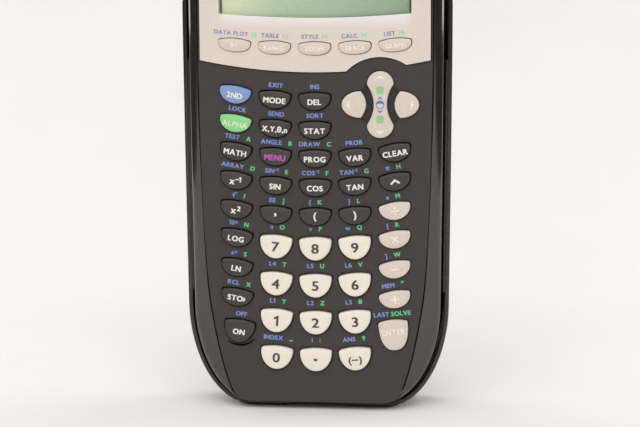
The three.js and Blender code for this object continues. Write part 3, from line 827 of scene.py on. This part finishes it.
def reach_share(centre, outline, point):
    """How far a point is from a centre, as a share of the outline's distance the same way."""
    dx, dz = point[0] - centre[0], point[1] - centre[1]
    for (ax, az), (bx, bz) in zip(outline, outline[1:] + outline[:1]):
        ex, ez = bx - ax, bz - az
        across = dx * ez - dz * ex
        if abs(across) < 1e-12:
            continue
        t = ((ax - centre[0]) * ez - (az - centre[1]) * ex) / across
        u = ((ax - centre[0]) * dz - (az - centre[1]) * dx) / across
        if t > 0 and 0 <= u <= 1:
            return min(1, 1 / t)
    return 0


LEGEND_HEIGHT = {"dark": 1.78, "pale": 2.0, "white": 3.15, "blue": 1.78, "green": 1.75}
SIGN_HEIGHT = {"×": 2.9, "−": 3.0, "+": 3.2, "÷": 3.1, "∧": 3.0, ",": 3.2, "(": 2.3, ")": 2.3,
               ".": 5.0, "(−)": 2.2, "x|2": 2.2, "x|-1": 2.2}
FUNCTION_LEGEND = (1.35, 0.05)  # height and weight
ENTER_RISE, SIGN_RISE, WORD_RISE = 1.1, 0.1, -0.1  # of a legend above its key's middle
DIGIT_WIDEN = 1.15
LEGEND_MARGIN = 1.9  # a key is at least this much wider than its legend
LEGEND_WEIGHT = {"dark": 0.105, "pale": 0.04, "white": 0.105, "blue": 0.105, "green": 0.08}


def legend(key, surface):
    """The print on top of a keycap."""
    height = SIGN_HEIGHT.get(key.legend, LEGEND_HEIGHT[key.finish])
    weight = LEGEND_WEIGHT[key.finish]
    if key.size == FUNCTION:
        height, weight = FUNCTION_LEGEND
    drawing = glyphs(key.legend, height, weight)
    heights = [vert[1] for vert in drawing[0]]
    widen = DIGIT_WIDEN if key.size == NUMBER and key.legend.isdigit() else 1
    squeeze = min(widen, (key.size[0] - LEGEND_MARGIN) / width_of(drawing[0]))
    middle = 0 if len(key.legend) > 1 else (max(heights) + min(heights)) / 2
    rise = ENTER_RISE if key.size == ENTER else SIGN_RISE if len(key.legend) == 1 else WORD_RISE
    shape = Shape()
    printed(shape, drawing, key.place, surface, (0, rise - middle), squeeze)
    _, slot, print_ink = FINISHES[key.finish]
    shape.piece(key.name + "_legend", key.ink or print_ink, key.name, slot, merge=0)


for key in KEYS:
    cap_surface = keycap(key.name, key_outline, key.size, key.place, key.top, key.finish)
    legend(key, cap_surface)

pad_surfaces = {name: keycap(name, outline, spec, PAD_PLACE, KEY_TOP, "pale")
                for name, outline, spec in PAD_KEYS}


def flat(points):
    return [(x, z, 0) for x, z in points]


def chevron(x, z, angle, span=1.7, thick=0.75):
    """A flat arrowhead pointing along angle, in degrees from straight up."""
    points = [(-span, -0.35), (0, 0.75), (span, -0.35), (0, 0.75 - thick)]
    return flat(shifted(points, (x, z, radians(angle)))), [(0, 1, 3), (1, 2, 3)]


def patch(points):
    """A filled outline with rings of vertices inside it, so that it follows a crowned top."""
    shape = Shape()
    centre = middle_of(points)
    rings = shape.loft([([between(centre, point, share) for point in points], 0) for share in (1, 0.7, 0.4)])
    shape.fan(rings[-1], 0)
    return [(x, z, 0) for x, _, z in shape.verts], shape.faces


def pad_print(name, ink, body, slot, drawings):
    """Drawings on one key of the direction pad, as one piece."""
    shape = Shape()
    for drawing in drawings:
        printed(shape, drawing, PAD_PLACE, pad_surfaces[body])
    shape.piece(name, ink, body, slot, merge=0)


def pad_prints():
    """Arrowheads on the four directions, and the contrast signs on the rocker."""
    pad_print("key_up_down_arrows", CREAM_INK, "key_up_down", "pale_key",
              [chevron(0, z, angle) for z, angle in ((8.4, 0), (-8.4, 180))])
    for name, x, angle in (("key_left", -9.8, -90), ("key_right", 9.8, 90)):
        pad_print(name + "_arrow", CREAM_INK, name, "pale_key", [chevron(x, 0, angle)])
    squares = []
    for z in (4.6, -4.6):
        corners = ((0.45, z + 0.45, 0), (-0.45, z + 0.45, 90), (-0.45, z - 0.45, 180), (0.45, z - 0.45, 270))
        squares.append(patch([p for cx, cz, a in corners for p in arc(cx, cz, 0.75, 0.75, a, a + 90, 6)]))
    pad_print("key_up_down_green", SOFT_GREEN_INK, "key_up_down", "green_key", squares)
    disc = patch(arc(0, 0, 1.35, 1.35, 0, 180, 20) + [(-1.35, 0)])
    outer = arc(0, 0, 1.35, 1.35, 180, 360, 20) + [(1.35, 0)]
    inner = arc(0, 0, 1.1, 1.1, 180, 360, 20) + [(1.1, 0)]
    bow = flat(outer + inner), [(i, i + 1, i + 22, i + 21) for i in range(20)]
    arrows = [chevron(0, z, angle, 0.95, 0.7) for z, angle in ((1.9, 0), (-1.9, 180))]
    pad_print("key_up_down_blue", DEEP_BLUE_INK, "key_up_down", "blue_key", [disc, bow, *arrows])


pad_prints()


# ---- front housing ----

PANEL_BACK = FACE + 2
SEAM = 0.45  # between the panel and the wings
WING = {"across": 1.15, "down": 0.9}  # powers that square its round a little
EASE = 0.12  # chamfer of the key holes
SCOOP = {"reach": 0.5, "depth": 0.35}  # instead of it round the number keys
KEY_REACH = 7.5  # an edge this near a key's middle is its hole's
PAD_REACH = 14.14  # but not if it is this near the pad's
WELL_FIT = 0.05
ON_SLOT = {"half": 5.7, "drop": 4.6, "from": -129, "to": -22, "wide": 0.6}


def pad_holes(grow):
    return [shifted(outline(spec, grow), PAD_PLACE) for _, outline, spec in PAD_KEYS]


def on_well_rim(point):
    return abs(dist(point, PAD_MIDDLE) - PAD["well"]) < 0.02


def round_on_key(angle, out):
    """A point so far outside the middle line of the slot under the on key."""
    x, z = (ON_SLOT["half"] + out) * cos(angle), (ON_SLOT["drop"] + out) * sin(angle)
    key = next(key for key in KEYS if key.name == "key_on")
    return shifted([(x, z)], key.place)[0]


def hole(key):
    """A key's hole from the panel's face to its back, eased or scooped at the face."""
    def at(grow):
        return shifted(key_outline(key.size, GAP + grow), key.place)

    if key.size == NUMBER:
        reach, depth = SCOOP["reach"], SCOOP["depth"]
        mouth = [(at(reach), FACE), (at(reach * 0.45), FACE + depth * 0.72), (at(0), FACE + depth)]
    else:
        mouth = [(at(EASE), FACE), (at(0), FACE + EASE)]
    return mouth + [(at(0), PANEL_BACK)]


def on_slot():
    """The crescent slot under the on key."""
    outer, inner = [], []
    for i in range(25):
        a = radians(ON_SLOT["from"] + (ON_SLOT["to"] - ON_SLOT["from"]) * i / 24)
        wide = 0.02 + ON_SLOT["wide"] / 2 * sin(pi * i / 24) ** 0.5
        outer.append(round_on_key(a, wide))
        inner.append(round_on_key(a, -wide))
    return outer + inner[::-1]


def front_panel():
    """The flat key panel with its holes, the pad's round well and the bezel's seat."""
    shape = Shape()
    well = circle(*PAD_MIDDLE, PAD["well"])
    disc = circle(*PAD_MIDDLE, PAD["surround"] - GAP, 96)
    holes = [hole(key) for key in PANEL_KEYS]
    slot = on_slot()
    outlines = [mirrored(panel_half()), bezel_outline(GAP), disc, well, *pad_holes(GAP),
                *[rows[0][0] for rows in holes], slot]

    def on_face(inside):
        return 0 in inside and max(inside) < 3 and (1 not in inside or 2 in inside)

    def depth(middle):
        if on_well_rim(middle):
            return FACE + PAD["depth"]
        beside_key = any(dist(middle, key.place[:2]) < KEY_REACH for key in PANEL_KEYS)
        return None if beside_key and dist(middle, PAD_MIDDLE) > PAD_REACH else PANEL_BACK

    shape.walls(shape.region(outlines, FACE, on_face), FACE, depth)
    floor = FACE + PAD["depth"]
    border = shape.region([well, *pad_holes(GAP)], floor)
    shape.walls(border, floor, lambda middle: None if on_well_rim(middle) else PANEL_BACK)
    for rows in ([(slot, FACE), (slot, PANEL_BACK)], *holes):
        shape.loft(rows)
    panel = shape.piece("front_panel", MATTE, "calculator", "front_shell", smooth=30)
    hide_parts("front_housing")


def pad_well():
    """The dark polished floor of the direction pad's well."""
    shape = Shape()
    outlines = [circle(*PAD_MIDDLE, PAD["well"] - WELL_FIT), *pad_holes(GAP + WELL_FIT)]
    y = FACE + PAD["depth"] - 0.06
    shape.walls(shape.region(outlines, y), y, y + 0.05)
    shape.region(outlines, y + 0.05)
    shape.piece("pad_well", WELL_PLASTIC, "calculator", "front_shell")


def wing_frame():
    """The glossy rim of the front housing: a rounded wing, the side walls and the inner wall."""
    shape = Shape()
    panel = mirrored(panel_half())
    outer = body_outline(HOUSING)
    count = len(outer)

    def start(i):
        beyond_tip = (min(i, count - i) - TIP + 3) / 6
        share = SEAM * min(1, max(0, beyond_tip)) / dist(panel[i], outer[i])
        return between(panel[i], outer[i], share)

    inner_edge = [start(i) for i in range(count)]
    inner = body_outline(HOUSING, -SHELL_WALL)
    rows = [(inner_edge, PANEL_BACK), (inner_edge, FACE + 0.15)]
    for k in range(1, 10):
        a = radians(10 * k)
        points = [between(edge, side, sin(a) ** WING["across"]) for edge, side in zip(inner_edge, outer)]
        rows.append((points, FACE + 0.12 + (SHOULDER - FACE) * (1 - cos(a) ** WING["down"])))
    rows += [
        (outer, PARTING - 0.35),
        (body_outline(HOUSING, -0.25), PARTING - GAP + 0.05),
        (inner, PARTING - GAP + 0.05),
        (inner, PANEL_BACK),
    ]
    rings = shape.loft(rows)
    shape.join([rings[-1], rings[0]])
    shape.piece("front_rim", GLOSS, "calculator", "front_shell", smooth=40)


def on_guard():
    """A low raised lip round the slot under the on key."""
    shape = Shape()
    steps, across, width, height = 36, 9, 1.45, 0.45
    end = ON_SLOT["to"] + 6
    sections = []
    for i in range(steps + 1):
        a = radians(ON_SLOT["from"] + (end - ON_SLOT["from"]) * i / steps)
        swell = sin(pi * i / steps) ** 0.6
        section = []
        for k in range(across):
            share = k / (across - 1)
            x, z = round_on_key(a, ON_SLOT["wide"] / 2 + 0.03 + (0.05 + width * swell) * share)
            section.append((x, FACE + 0.02 - height * swell * sin(pi * share ** 0.7), z))
        sections.append(section)
    shape.tube(sections)
    shape.piece("on_guard", MATTE, "calculator", "front_shell", smooth=60)


PRINT_SPACE = {ENTER: 0.5, FUNCTION: 1.1}  # between a key's two prints, where it isn't 2.1
NUMBER_PRINT_RISE = 0.75


def prints(name, keys, front, inks, height, above, weight):
    """The second and third functions of some keys, printed above them on a flat surface."""
    blue, green = Shape(), Shape()
    for key in keys:
        rise = key.size[1] / 2 + above + (NUMBER_PRINT_RISE if key.size == NUMBER else 0)
        space = PRINT_SPACE.get(key.size, 2.1)
        words = [(blue, key.blue), (green, key.green)]
        drawings = [(shape, glyphs(word, height, weight)) for shape, word in words if word]
        widths = [width_of(drawing[0]) for _, drawing in drawings]
        at = -(sum(widths) + space * (len(widths) - 1)) / 2
        for (shape, drawing), width in zip(drawings, widths):
            printed(shape, drawing, key.place, lambda x, z: front - 0.03, (at + width / 2, rise))
            at += width + space
    blue.piece(name + "_blue_prints", inks[0], "calculator", "front_shell", merge=0)
    green.piece(name + "_green_prints", inks[1], "calculator", "front_shell", merge=0)


front_panel()
pad_well()
wing_frame()
on_guard()
prints("panel", PANEL_KEYS, FACE, (BLUE_INK, GREEN_INK), 1.45, 1.9, 0.085)
prints("bezel", FUNCTION_KEYS, BEZEL_FRONT, (PALE_BLUE_INK, PALE_GREEN_INK), 1.3, 1.7, 0.075)


# ---- bezel and screen ----

BEZEL_SLOPE = {"wide": 3.6, "drop": 0.65}  # the hollow that leads down to the window


def function_hole(key):
    x, z, turn = key.place
    return shifted(key_outline(FUNCTION, FUNCTION_GAP), (x + FUNCTION_LEAN[0], z + FUNCTION_LEAN[1], turn))


def bezel():
    """The light frame round the screen, sloping down to the window, with the keys' holes."""
    shape = Shape()
    wide, drop = BEZEL_SLOPE["wide"], BEZEL_SLOPE["drop"]
    disc = circle(*PAD_MIDDLE, PAD["surround"], 96)
    holes = [function_hole(key) for key in FUNCTION_KEYS]
    slope = [(screen_outline(GAP + wide * (1 - t)), BEZEL_FRONT + drop * t ** 1.8)
             for t in (0, 0.2, 0.4, 0.6, 0.8, 1)]
    low = SCREEN["foot"] - SCREEN["rise"] - GAP - wide - 0.1
    reach = wide + 0.6

    def back(middle):
        on_slope = abs(middle[0]) < SCREEN["half"] + reach and low < middle[1] < SCREEN["top"] + reach
        return None if on_slope else BEZEL_BACK

    border = shape.region([bezel_outline(), disc, slope[0][0], *holes], BEZEL_FRONT)
    shape.walls(border, BEZEL_FRONT, back)
    screen = slope[-1][0]
    shape.loft([*slope, (screen, BEZEL_BACK)])
    shape.region([bezel_outline(), disc, screen, *holes], BEZEL_BACK)
    piece = shape.piece("bezel", SILVER, "calculator", "bezel", bevel=0.22)
    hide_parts("screen_bezel")


def edge_shade_walls():
    """Dark walls at the display's two sides, behind the window: painted shade for the shadow at the
    display's edges under the bezel.
    """
    shape = Shape()
    front = extent("screen_window", "y")[1] + 0.05
    back = extent("lcd_panel", "y")[0] - 0.02
    low = SCREEN["foot"] + SCREEN["rise"]
    for side in (-1, 1):
        outer, inner = sorted((side * (SCREEN["half"] - 0.02), side * (SCREEN["half"] - 0.42)))
        shape.box((outer, front, low), (inner, back, SCREEN["top"] - 0.05))
    shape.piece("screen_edge_shade", EDGE_SHADE, "calculator", "bezel", merge=0)


bezel()
edge_shade_walls()


# ---- slide case ----

CASE_WALL = 1.0
CASE_RIM = 1.5  # thickness of the bead along the rim
CASE_FLOOR = REAR_BACK + 0.4
BODY_CLEAR = HOUSING["foot"] - GAP  # the case's floor stays below this
# a nick in the rim under each wing's end, in the part of the outline below top
NICK = {"x": PANEL["tip"] + 0.2, "height": 0.5, "wide": 0.5, "back": 1.2, "top": 4}
THUMB_NOTCH = {"radius": 26, "z": CASE_TOP + 14}


def foot_lift(x):
    """How high the arch between the feet is at x."""
    t = min(1, abs(x) / FOOT_ARCH["half"])
    return FOOT_ARCH["rise"] * (1 - t ** 4) ** 2


def tapered(x, y):
    """Moves a side wall nearer the middle towards the back."""
    share = max(0, (y - CASE_FRONT) / (BACK_OF_CASE - CASE_FRONT))
    return x - CASE_TAPER * share * min(1, max(0, (x - CASE["x"]) / CASE["reach"]))


def case_path(grow, y):
    """The case's outline from its right side's top down round the feet to the left one's."""
    radius = CASE["radius"]
    side = [p for p in body_half(CASE, grow) if p[1] < CASE["top"] - radius - 1]
    nick = NICK["height"] * max(0, 1 - (y - CASE_FRONT) / NICK["back"])
    shaped = []
    for x, z in side:
        lift = foot_lift(x)
        thin = min(1, (BODY_CLEAR - lift) / CASE_RIM)
        rise = nick * exp(-((x - NICK["x"]) / NICK["wide"]) ** 2) if z < NICK["top"] else 0
        shaped.append((tapered(x, y), z * thin + lift if lift > 0 else z + rise))
    wide = CASE["x"] + CASE["reach"] + CASE["swell"] + grow
    shaped.append((tapered(wide, y), CASE["top"] - radius + sqrt(radius ** 2 - (radius + grow) ** 2)))
    return both_sides(shaped)[::-1]


def back_path(points):
    """From the left side wall's top up the back, through the thumb notch, and down to the right."""
    half, radius = CASE_BACK["half"], CASE_BACK["radius"]
    shoulder = points[0][1] + 0.2
    deep, middle = THUMB_NOTCH["radius"], THUMB_NOTCH["z"]
    reach = sqrt(deep ** 2 - (middle - CASE_TOP) ** 2)
    spread = degrees(asin(reach / deep))
    right = arc(0, middle, deep, deep, -90, spread - 90, 16)
    right += line((reach, CASE_TOP), (half - radius, CASE_TOP), 2)
    right += arc(half - radius, CASE_TOP - radius, radius, radius, 90, 0, 6)
    return both_sides(right + [(half, CASE_TOP - radius), (half, shoulder)])


def slide_case():
    """The tray-like case: a thin wall with a rounded rim round a flat back."""
    shape = Shape()
    profile = [(-CASE_WALL, CASE_FLOOR), (-CASE_WALL, CASE_FRONT + 2.4), (-CASE_RIM, CASE_FRONT + 1.6),
               (-CASE_RIM, CASE_FRONT + 0.4), (0.1 - CASE_RIM, CASE_FRONT + 0.1),
               (0.35 - CASE_RIM, CASE_FRONT), (-0.34, CASE_FRONT), (-0.12, CASE_FRONT + 0.12),
               (0, CASE_FRONT + 0.45), (0, BACK_OF_CASE - 1.6), (-0.12, BACK_OF_CASE - 0.9),
               (-0.45, BACK_OF_CASE - 0.4), (-0.95, BACK_OF_CASE - 0.1), (-1.6, BACK_OF_CASE)]
    rings = shape.loft([(case_path(grow, y), y) for grow, y in profile], closed=False)
    edges = []
    for ring in (rings[-1], rings[0]):
        corners = [(shape.verts[i][0], shape.verts[i][2]) for i in ring]
        path = shape.ring(back_path(corners), shape.verts[ring[0]][1])
        edges.append([ring[-1], *path, ring[0]])
        shape.faces.append(tuple(ring + path))
    shape.join(edges, closed=False)
    for end in (0, -1):
        shape.faces.append(tuple(ring[end] for ring in rings))
    for side in (-1, 1):
        case_lip(shape, side)
        x, half = side * PAD_FEET["x"], PAD_FEET["half"]
        shape.box((x - half, PAD_FEET["front"], PAD_FEET["foot"]), (x + half, PAD_FEET["back"], BODY_CLEAR))
    piece = shape.piece("case_shell", CASE_PLASTIC, "slide_case", "case", smooth=40)
    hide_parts("slide_case")


def half_width(spec, z):
    """Half width of a body outline at a height beside its swelling side."""
    start, end = spec["z"], spec["top"] - spec["radius"]
    c = start - 2 * SWELL_Z + end
    p = 2 * (SWELL_Z - start)
    t = (-p + sqrt(p * p - 4 * c * (start - z))) / (2 * c)
    return spec["x"] + spec["reach"] + spec["swell"] * (2 * (1 - t) * t + t * t)


def case_lip(shape, side):
    """The long inward lip that closes the gap beside the housing."""
    front = CASE_FRONT + 0.25
    sections = []
    for z in [LIP["from"] + (LIP["to"] - LIP["from"]) * i / 24 for i in range(25)]:
        inner = half_width(HOUSING, z) + GAP
        outer = half_width(CASE, z) - CASE_WALL + 0.15
        corners = ((inner, front + 0.3), (inner + 0.3, front), (outer, front), (outer, LIP["back"]),
                   (inner, LIP["back"]))
        sections.append([(side * x, y, z) for x, y in corners])
    shape.tube(sections)


slide_case()


# ---- rear housing ----

REAR_ROUND = 2.6  # radius of the back's edge
GROOVE = {"half": 9, "low": 8, "high": 3, "depth": 0.7}  # thumb groove, down from the door's top


def door_outline(grow=0.0):
    x, z0, z1 = DOOR_HALF + grow, DOOR_FOOT - grow, DOOR_TOP + grow
    r = 3 + grow
    points = []
    for cx, cz, a in ((x - r, z1 - r, 0), (r - x, z1 - r, 90), (r - x, z0 + r, 180), (x - r, z0 + r, 270)):
        points += arc(cx, cz, r, r, a, a + 105, 7)
    return points


def rear_shell():
    """The rear housing: rounded walls and a back with the doorway."""
    shape = Shape()
    inner = body_outline(HOUSING, -SHELL_WALL)
    rows = [(inner, PARTING), (body_outline(HOUSING, -0.25), PARTING),
            (body_outline(HOUSING), PARTING + 0.25), (body_outline(HOUSING), REAR_BACK - 2.8)]
    for k in range(1, 6):
        a = radians(18 * k)
        grow = -REAR_ROUND * (1 - cos(a))
        rows.append((body_outline(HOUSING, grow), REAR_BACK - REAR_ROUND * (1 - sin(a))))
    floor = REAR_BACK - SHELL_WALL
    shape.loft(rows)
    shape.loft([(inner, PARTING), (inner, floor)])

    def door_edge(middle):
        inside = abs(middle[0]) < DOOR_HALF + 1 and DOOR_FOOT - 1 < middle[1] < DOOR_TOP + 1
        return floor if inside else None

    border = shape.region([body_outline(HOUSING, -REAR_ROUND), door_outline(GAP)], REAR_BACK)
    shape.region([inner, door_outline(GAP)], floor)
    shape.walls(border, REAR_BACK, door_edge)
    shell = shape.piece("rear_shell", REAR, "calculator", "rear_shell", smooth=40)
    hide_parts("rear_housing")


def battery_cover():
    """The battery door with its thumb groove and grip ribs."""
    shape = Shape()
    half, low, high = GROOVE["half"], DOOR_TOP - GROOVE["low"], DOOR_TOP - GROOVE["high"]
    groove = [(-half, low), (half, low), (half, high), (-half, high)]
    floor = REAR_BACK - GROOVE["depth"]

    def edge(middle):
        in_groove = abs(middle[0]) < half + 0.1 and low - 0.1 < middle[1] < high + 0.1
        return floor if in_groove else DOOR_FRONT

    border = shape.region([door_outline(), groove], REAR_BACK)
    shape.walls(border, REAR_BACK, edge)
    shape.region([groove], floor)
    shape.region([door_outline()], DOOR_FRONT)
    for i in range(5):
        z = low + 0.6 + i * 0.95
        shape.box((1.5 - half, floor - 0.05, z), (half - 1.5, floor + 0.45, z + 0.45))
    door = shape.piece("battery_cover", REAR, "calculator", "rear_shell")
    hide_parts("battery_door")


def case_screw(index, x, z):
    """A cross-head screw sunk in the rear housing."""
    shape = Shape()
    y = REAR_BACK + 0.02
    rim, seat, head = (circle(x, z, radius, 48) for radius in (1.9, 1.7, 1.45))
    shape.loft([(rim, y), (seat, y - 0.5), (head, y - 0.2)])
    arm, wide = 0.95, 0.17
    slot = []
    for turn in (0, -90, -180, -270):
        place = (x, z, radians(11 * index + turn))
        slot += shifted([(wide, wide), (wide, arm), (-wide, arm)], place)
    border = shape.region([head, slot], y - 0.2)
    shape.walls([edge for edge in border if dist(edge[0], (x, z)) < 1.2], y - 0.2, y - 0.75)
    shape.region([slot], y - 0.75)
    shape.piece(f"case_screw_{index}", STEEL, "calculator", "steel_cell", smooth=40)


rear_shell()
battery_cover()
SCREWS = [(-33, 34), (33, 34), (-34, 104), (34, 104), (-33, 172), (33, 172)]
for index, (x, z) in enumerate(SCREWS, 1):
    case_screw(index, x, z)


# ---- carried-over CAD pieces ----

CARRIED = {
    "screen_window": lens(),
    "lcd_panel": display(),
    "keypad_sheet": SILICONE,
    "circuit_board": SOLDER_MASK,
    "battery_cells": SLEEVE,
    "backup_cell": STEEL,
}
for name, material in CARRIED.items():
    node = frame["nodes"][name]
    node.data.materials.clear()
    node.data.materials.append(material)


# ---- studio ----

def sweep():
    """A pale floor that curves up into the background, and is clear when seen from behind."""
    width, front, wall, radius, height = 600, -2500, 900, 700, 2500
    profile = [(front, 0), (wall - radius, 0)]
    profile += arc(wall - radius, radius, radius, radius, -90, 0, 16)[1:]
    profile += [(wall, radius), (wall, height)]
    verts = [Vector((x, y, z)) * MM for y, z in profile for x in (-width, width)]
    mesh = bpy.data.meshes.new("sweep")
    mesh.from_pydata(verts, [], [(a, a + 1, a + 3, a + 2) for a in range(0, len(verts) - 2, 2)])
    mesh.polygons.foreach_set("use_smooth", [True] * len(mesh.polygons))
    look = Look("paper")
    look.colour(look.noise(0.01, 3), srgb(240, 238, 236), srgb(243, 241, 239))
    look.set("Roughness", 0.9)
    clear = look.node("BsdfTransparent", {})
    behind = look.node("NewGeometry", {}, "Backfacing")
    through = look.node("MixShader", {"Fac": behind, 1: look.shader.outputs["BSDF"], 2: clear})
    feed(look.tree, look.tree.nodes["Material Output"].inputs["Surface"], through)
    mesh.materials.append(look.material)
    add_object("sweep", mesh)


def area_light(name, place, size, power, colour=(1, 1, 1), target=(0, 0, 0.06)):
    """A soft box of a size in metres that looks at a target and can't be seen itself."""
    light = bpy.data.lights.new(name, "AREA")
    light.shape = "RECTANGLE"
    light.size, light.size_y = size
    light.energy = power
    light.color = colour
    lamp = add_object(name, light)
    lamp.location = Vector(place)
    lamp.rotation_mode = "QUATERNION"
    lamp.rotation_quaternion = (Vector(target) - Vector(place)).to_track_quat("-Z", "Y")
    lamp.visible_camera = False


def camera():
    """A camera a little above the keys and to their right, cropped below the display's top."""
    distance, scene_width, sensor = 0.6, 0.2033, 36
    elevation, azimuth, roll = (radians(a) for a in (7.4, 6.6, -0.28))
    target = Vector((0.00137, -0.011, 0.06354))
    away = Vector((sin(azimuth) * cos(elevation), -cos(azimuth) * cos(elevation),
                   sin(elevation)))
    level = Vector((0, 0, 1)).cross(away).normalized()
    right = level * cos(roll) + away.cross(level) * sin(roll)
    data = bpy.data.cameras.new("camera")
    data.sensor_width = sensor
    data.lens = sensor * distance / scene_width
    data.clip_end = 20
    eye = add_object("camera", data)
    eye.rotation_mode = "QUATERNION"
    eye.rotation_quaternion = Matrix((right, away.cross(right), away)).transposed().to_quaternion()
    eye.location = target + away * distance
    bpy.context.scene.camera = eye


def world():
    """A warm dim room: bright overhead, dark beyond the paper's edges, and pale to the camera."""
    surround = bpy.data.worlds.new("surround")
    surround.use_nodes = True
    tree = surround.node_tree
    place = add_node(tree, "TexCoord", {}, "Generated")
    up = add_node(tree, "SeparateXYZ", {"Vector": place}, "Z")
    height = add_node(tree, "MapRange", {"Value": up, "From Min": 0, "From Max": 0.45})
    room = mixed(tree, height, (0.1, 0.08, 0.07, 1), (0.8, 0.755, 0.71, 1))
    seen = add_node(tree, "LightPath", {}, "Is Camera Ray")
    feed(tree, tree.nodes["Background"].inputs["Color"], mixed(tree, seen, room, (0.93, 0.91, 0.89, 1)))
    bpy.context.scene.world = surround


sweep()
camera()
world()
COOL = (0.86, 0.945, 1.0)
area_light("key_light", (0.05, -1.2, 1.3), (1.6, 1.2), 12.3, COOL, target=(0, 0, 0.08))
area_light("top_light", (0, 0.3, 1.4), (1.6, 1.0), 0.6, COOL, target=(0, 0, 0))
for side, power in ((-1, 2.4), (1, 2.8)):
    area_light("side_light", (0.85 * side, 0.45, 0.28), (0.7, 0.4), power)
bpy.context.scene.view_settings.view_transform = "Standard"
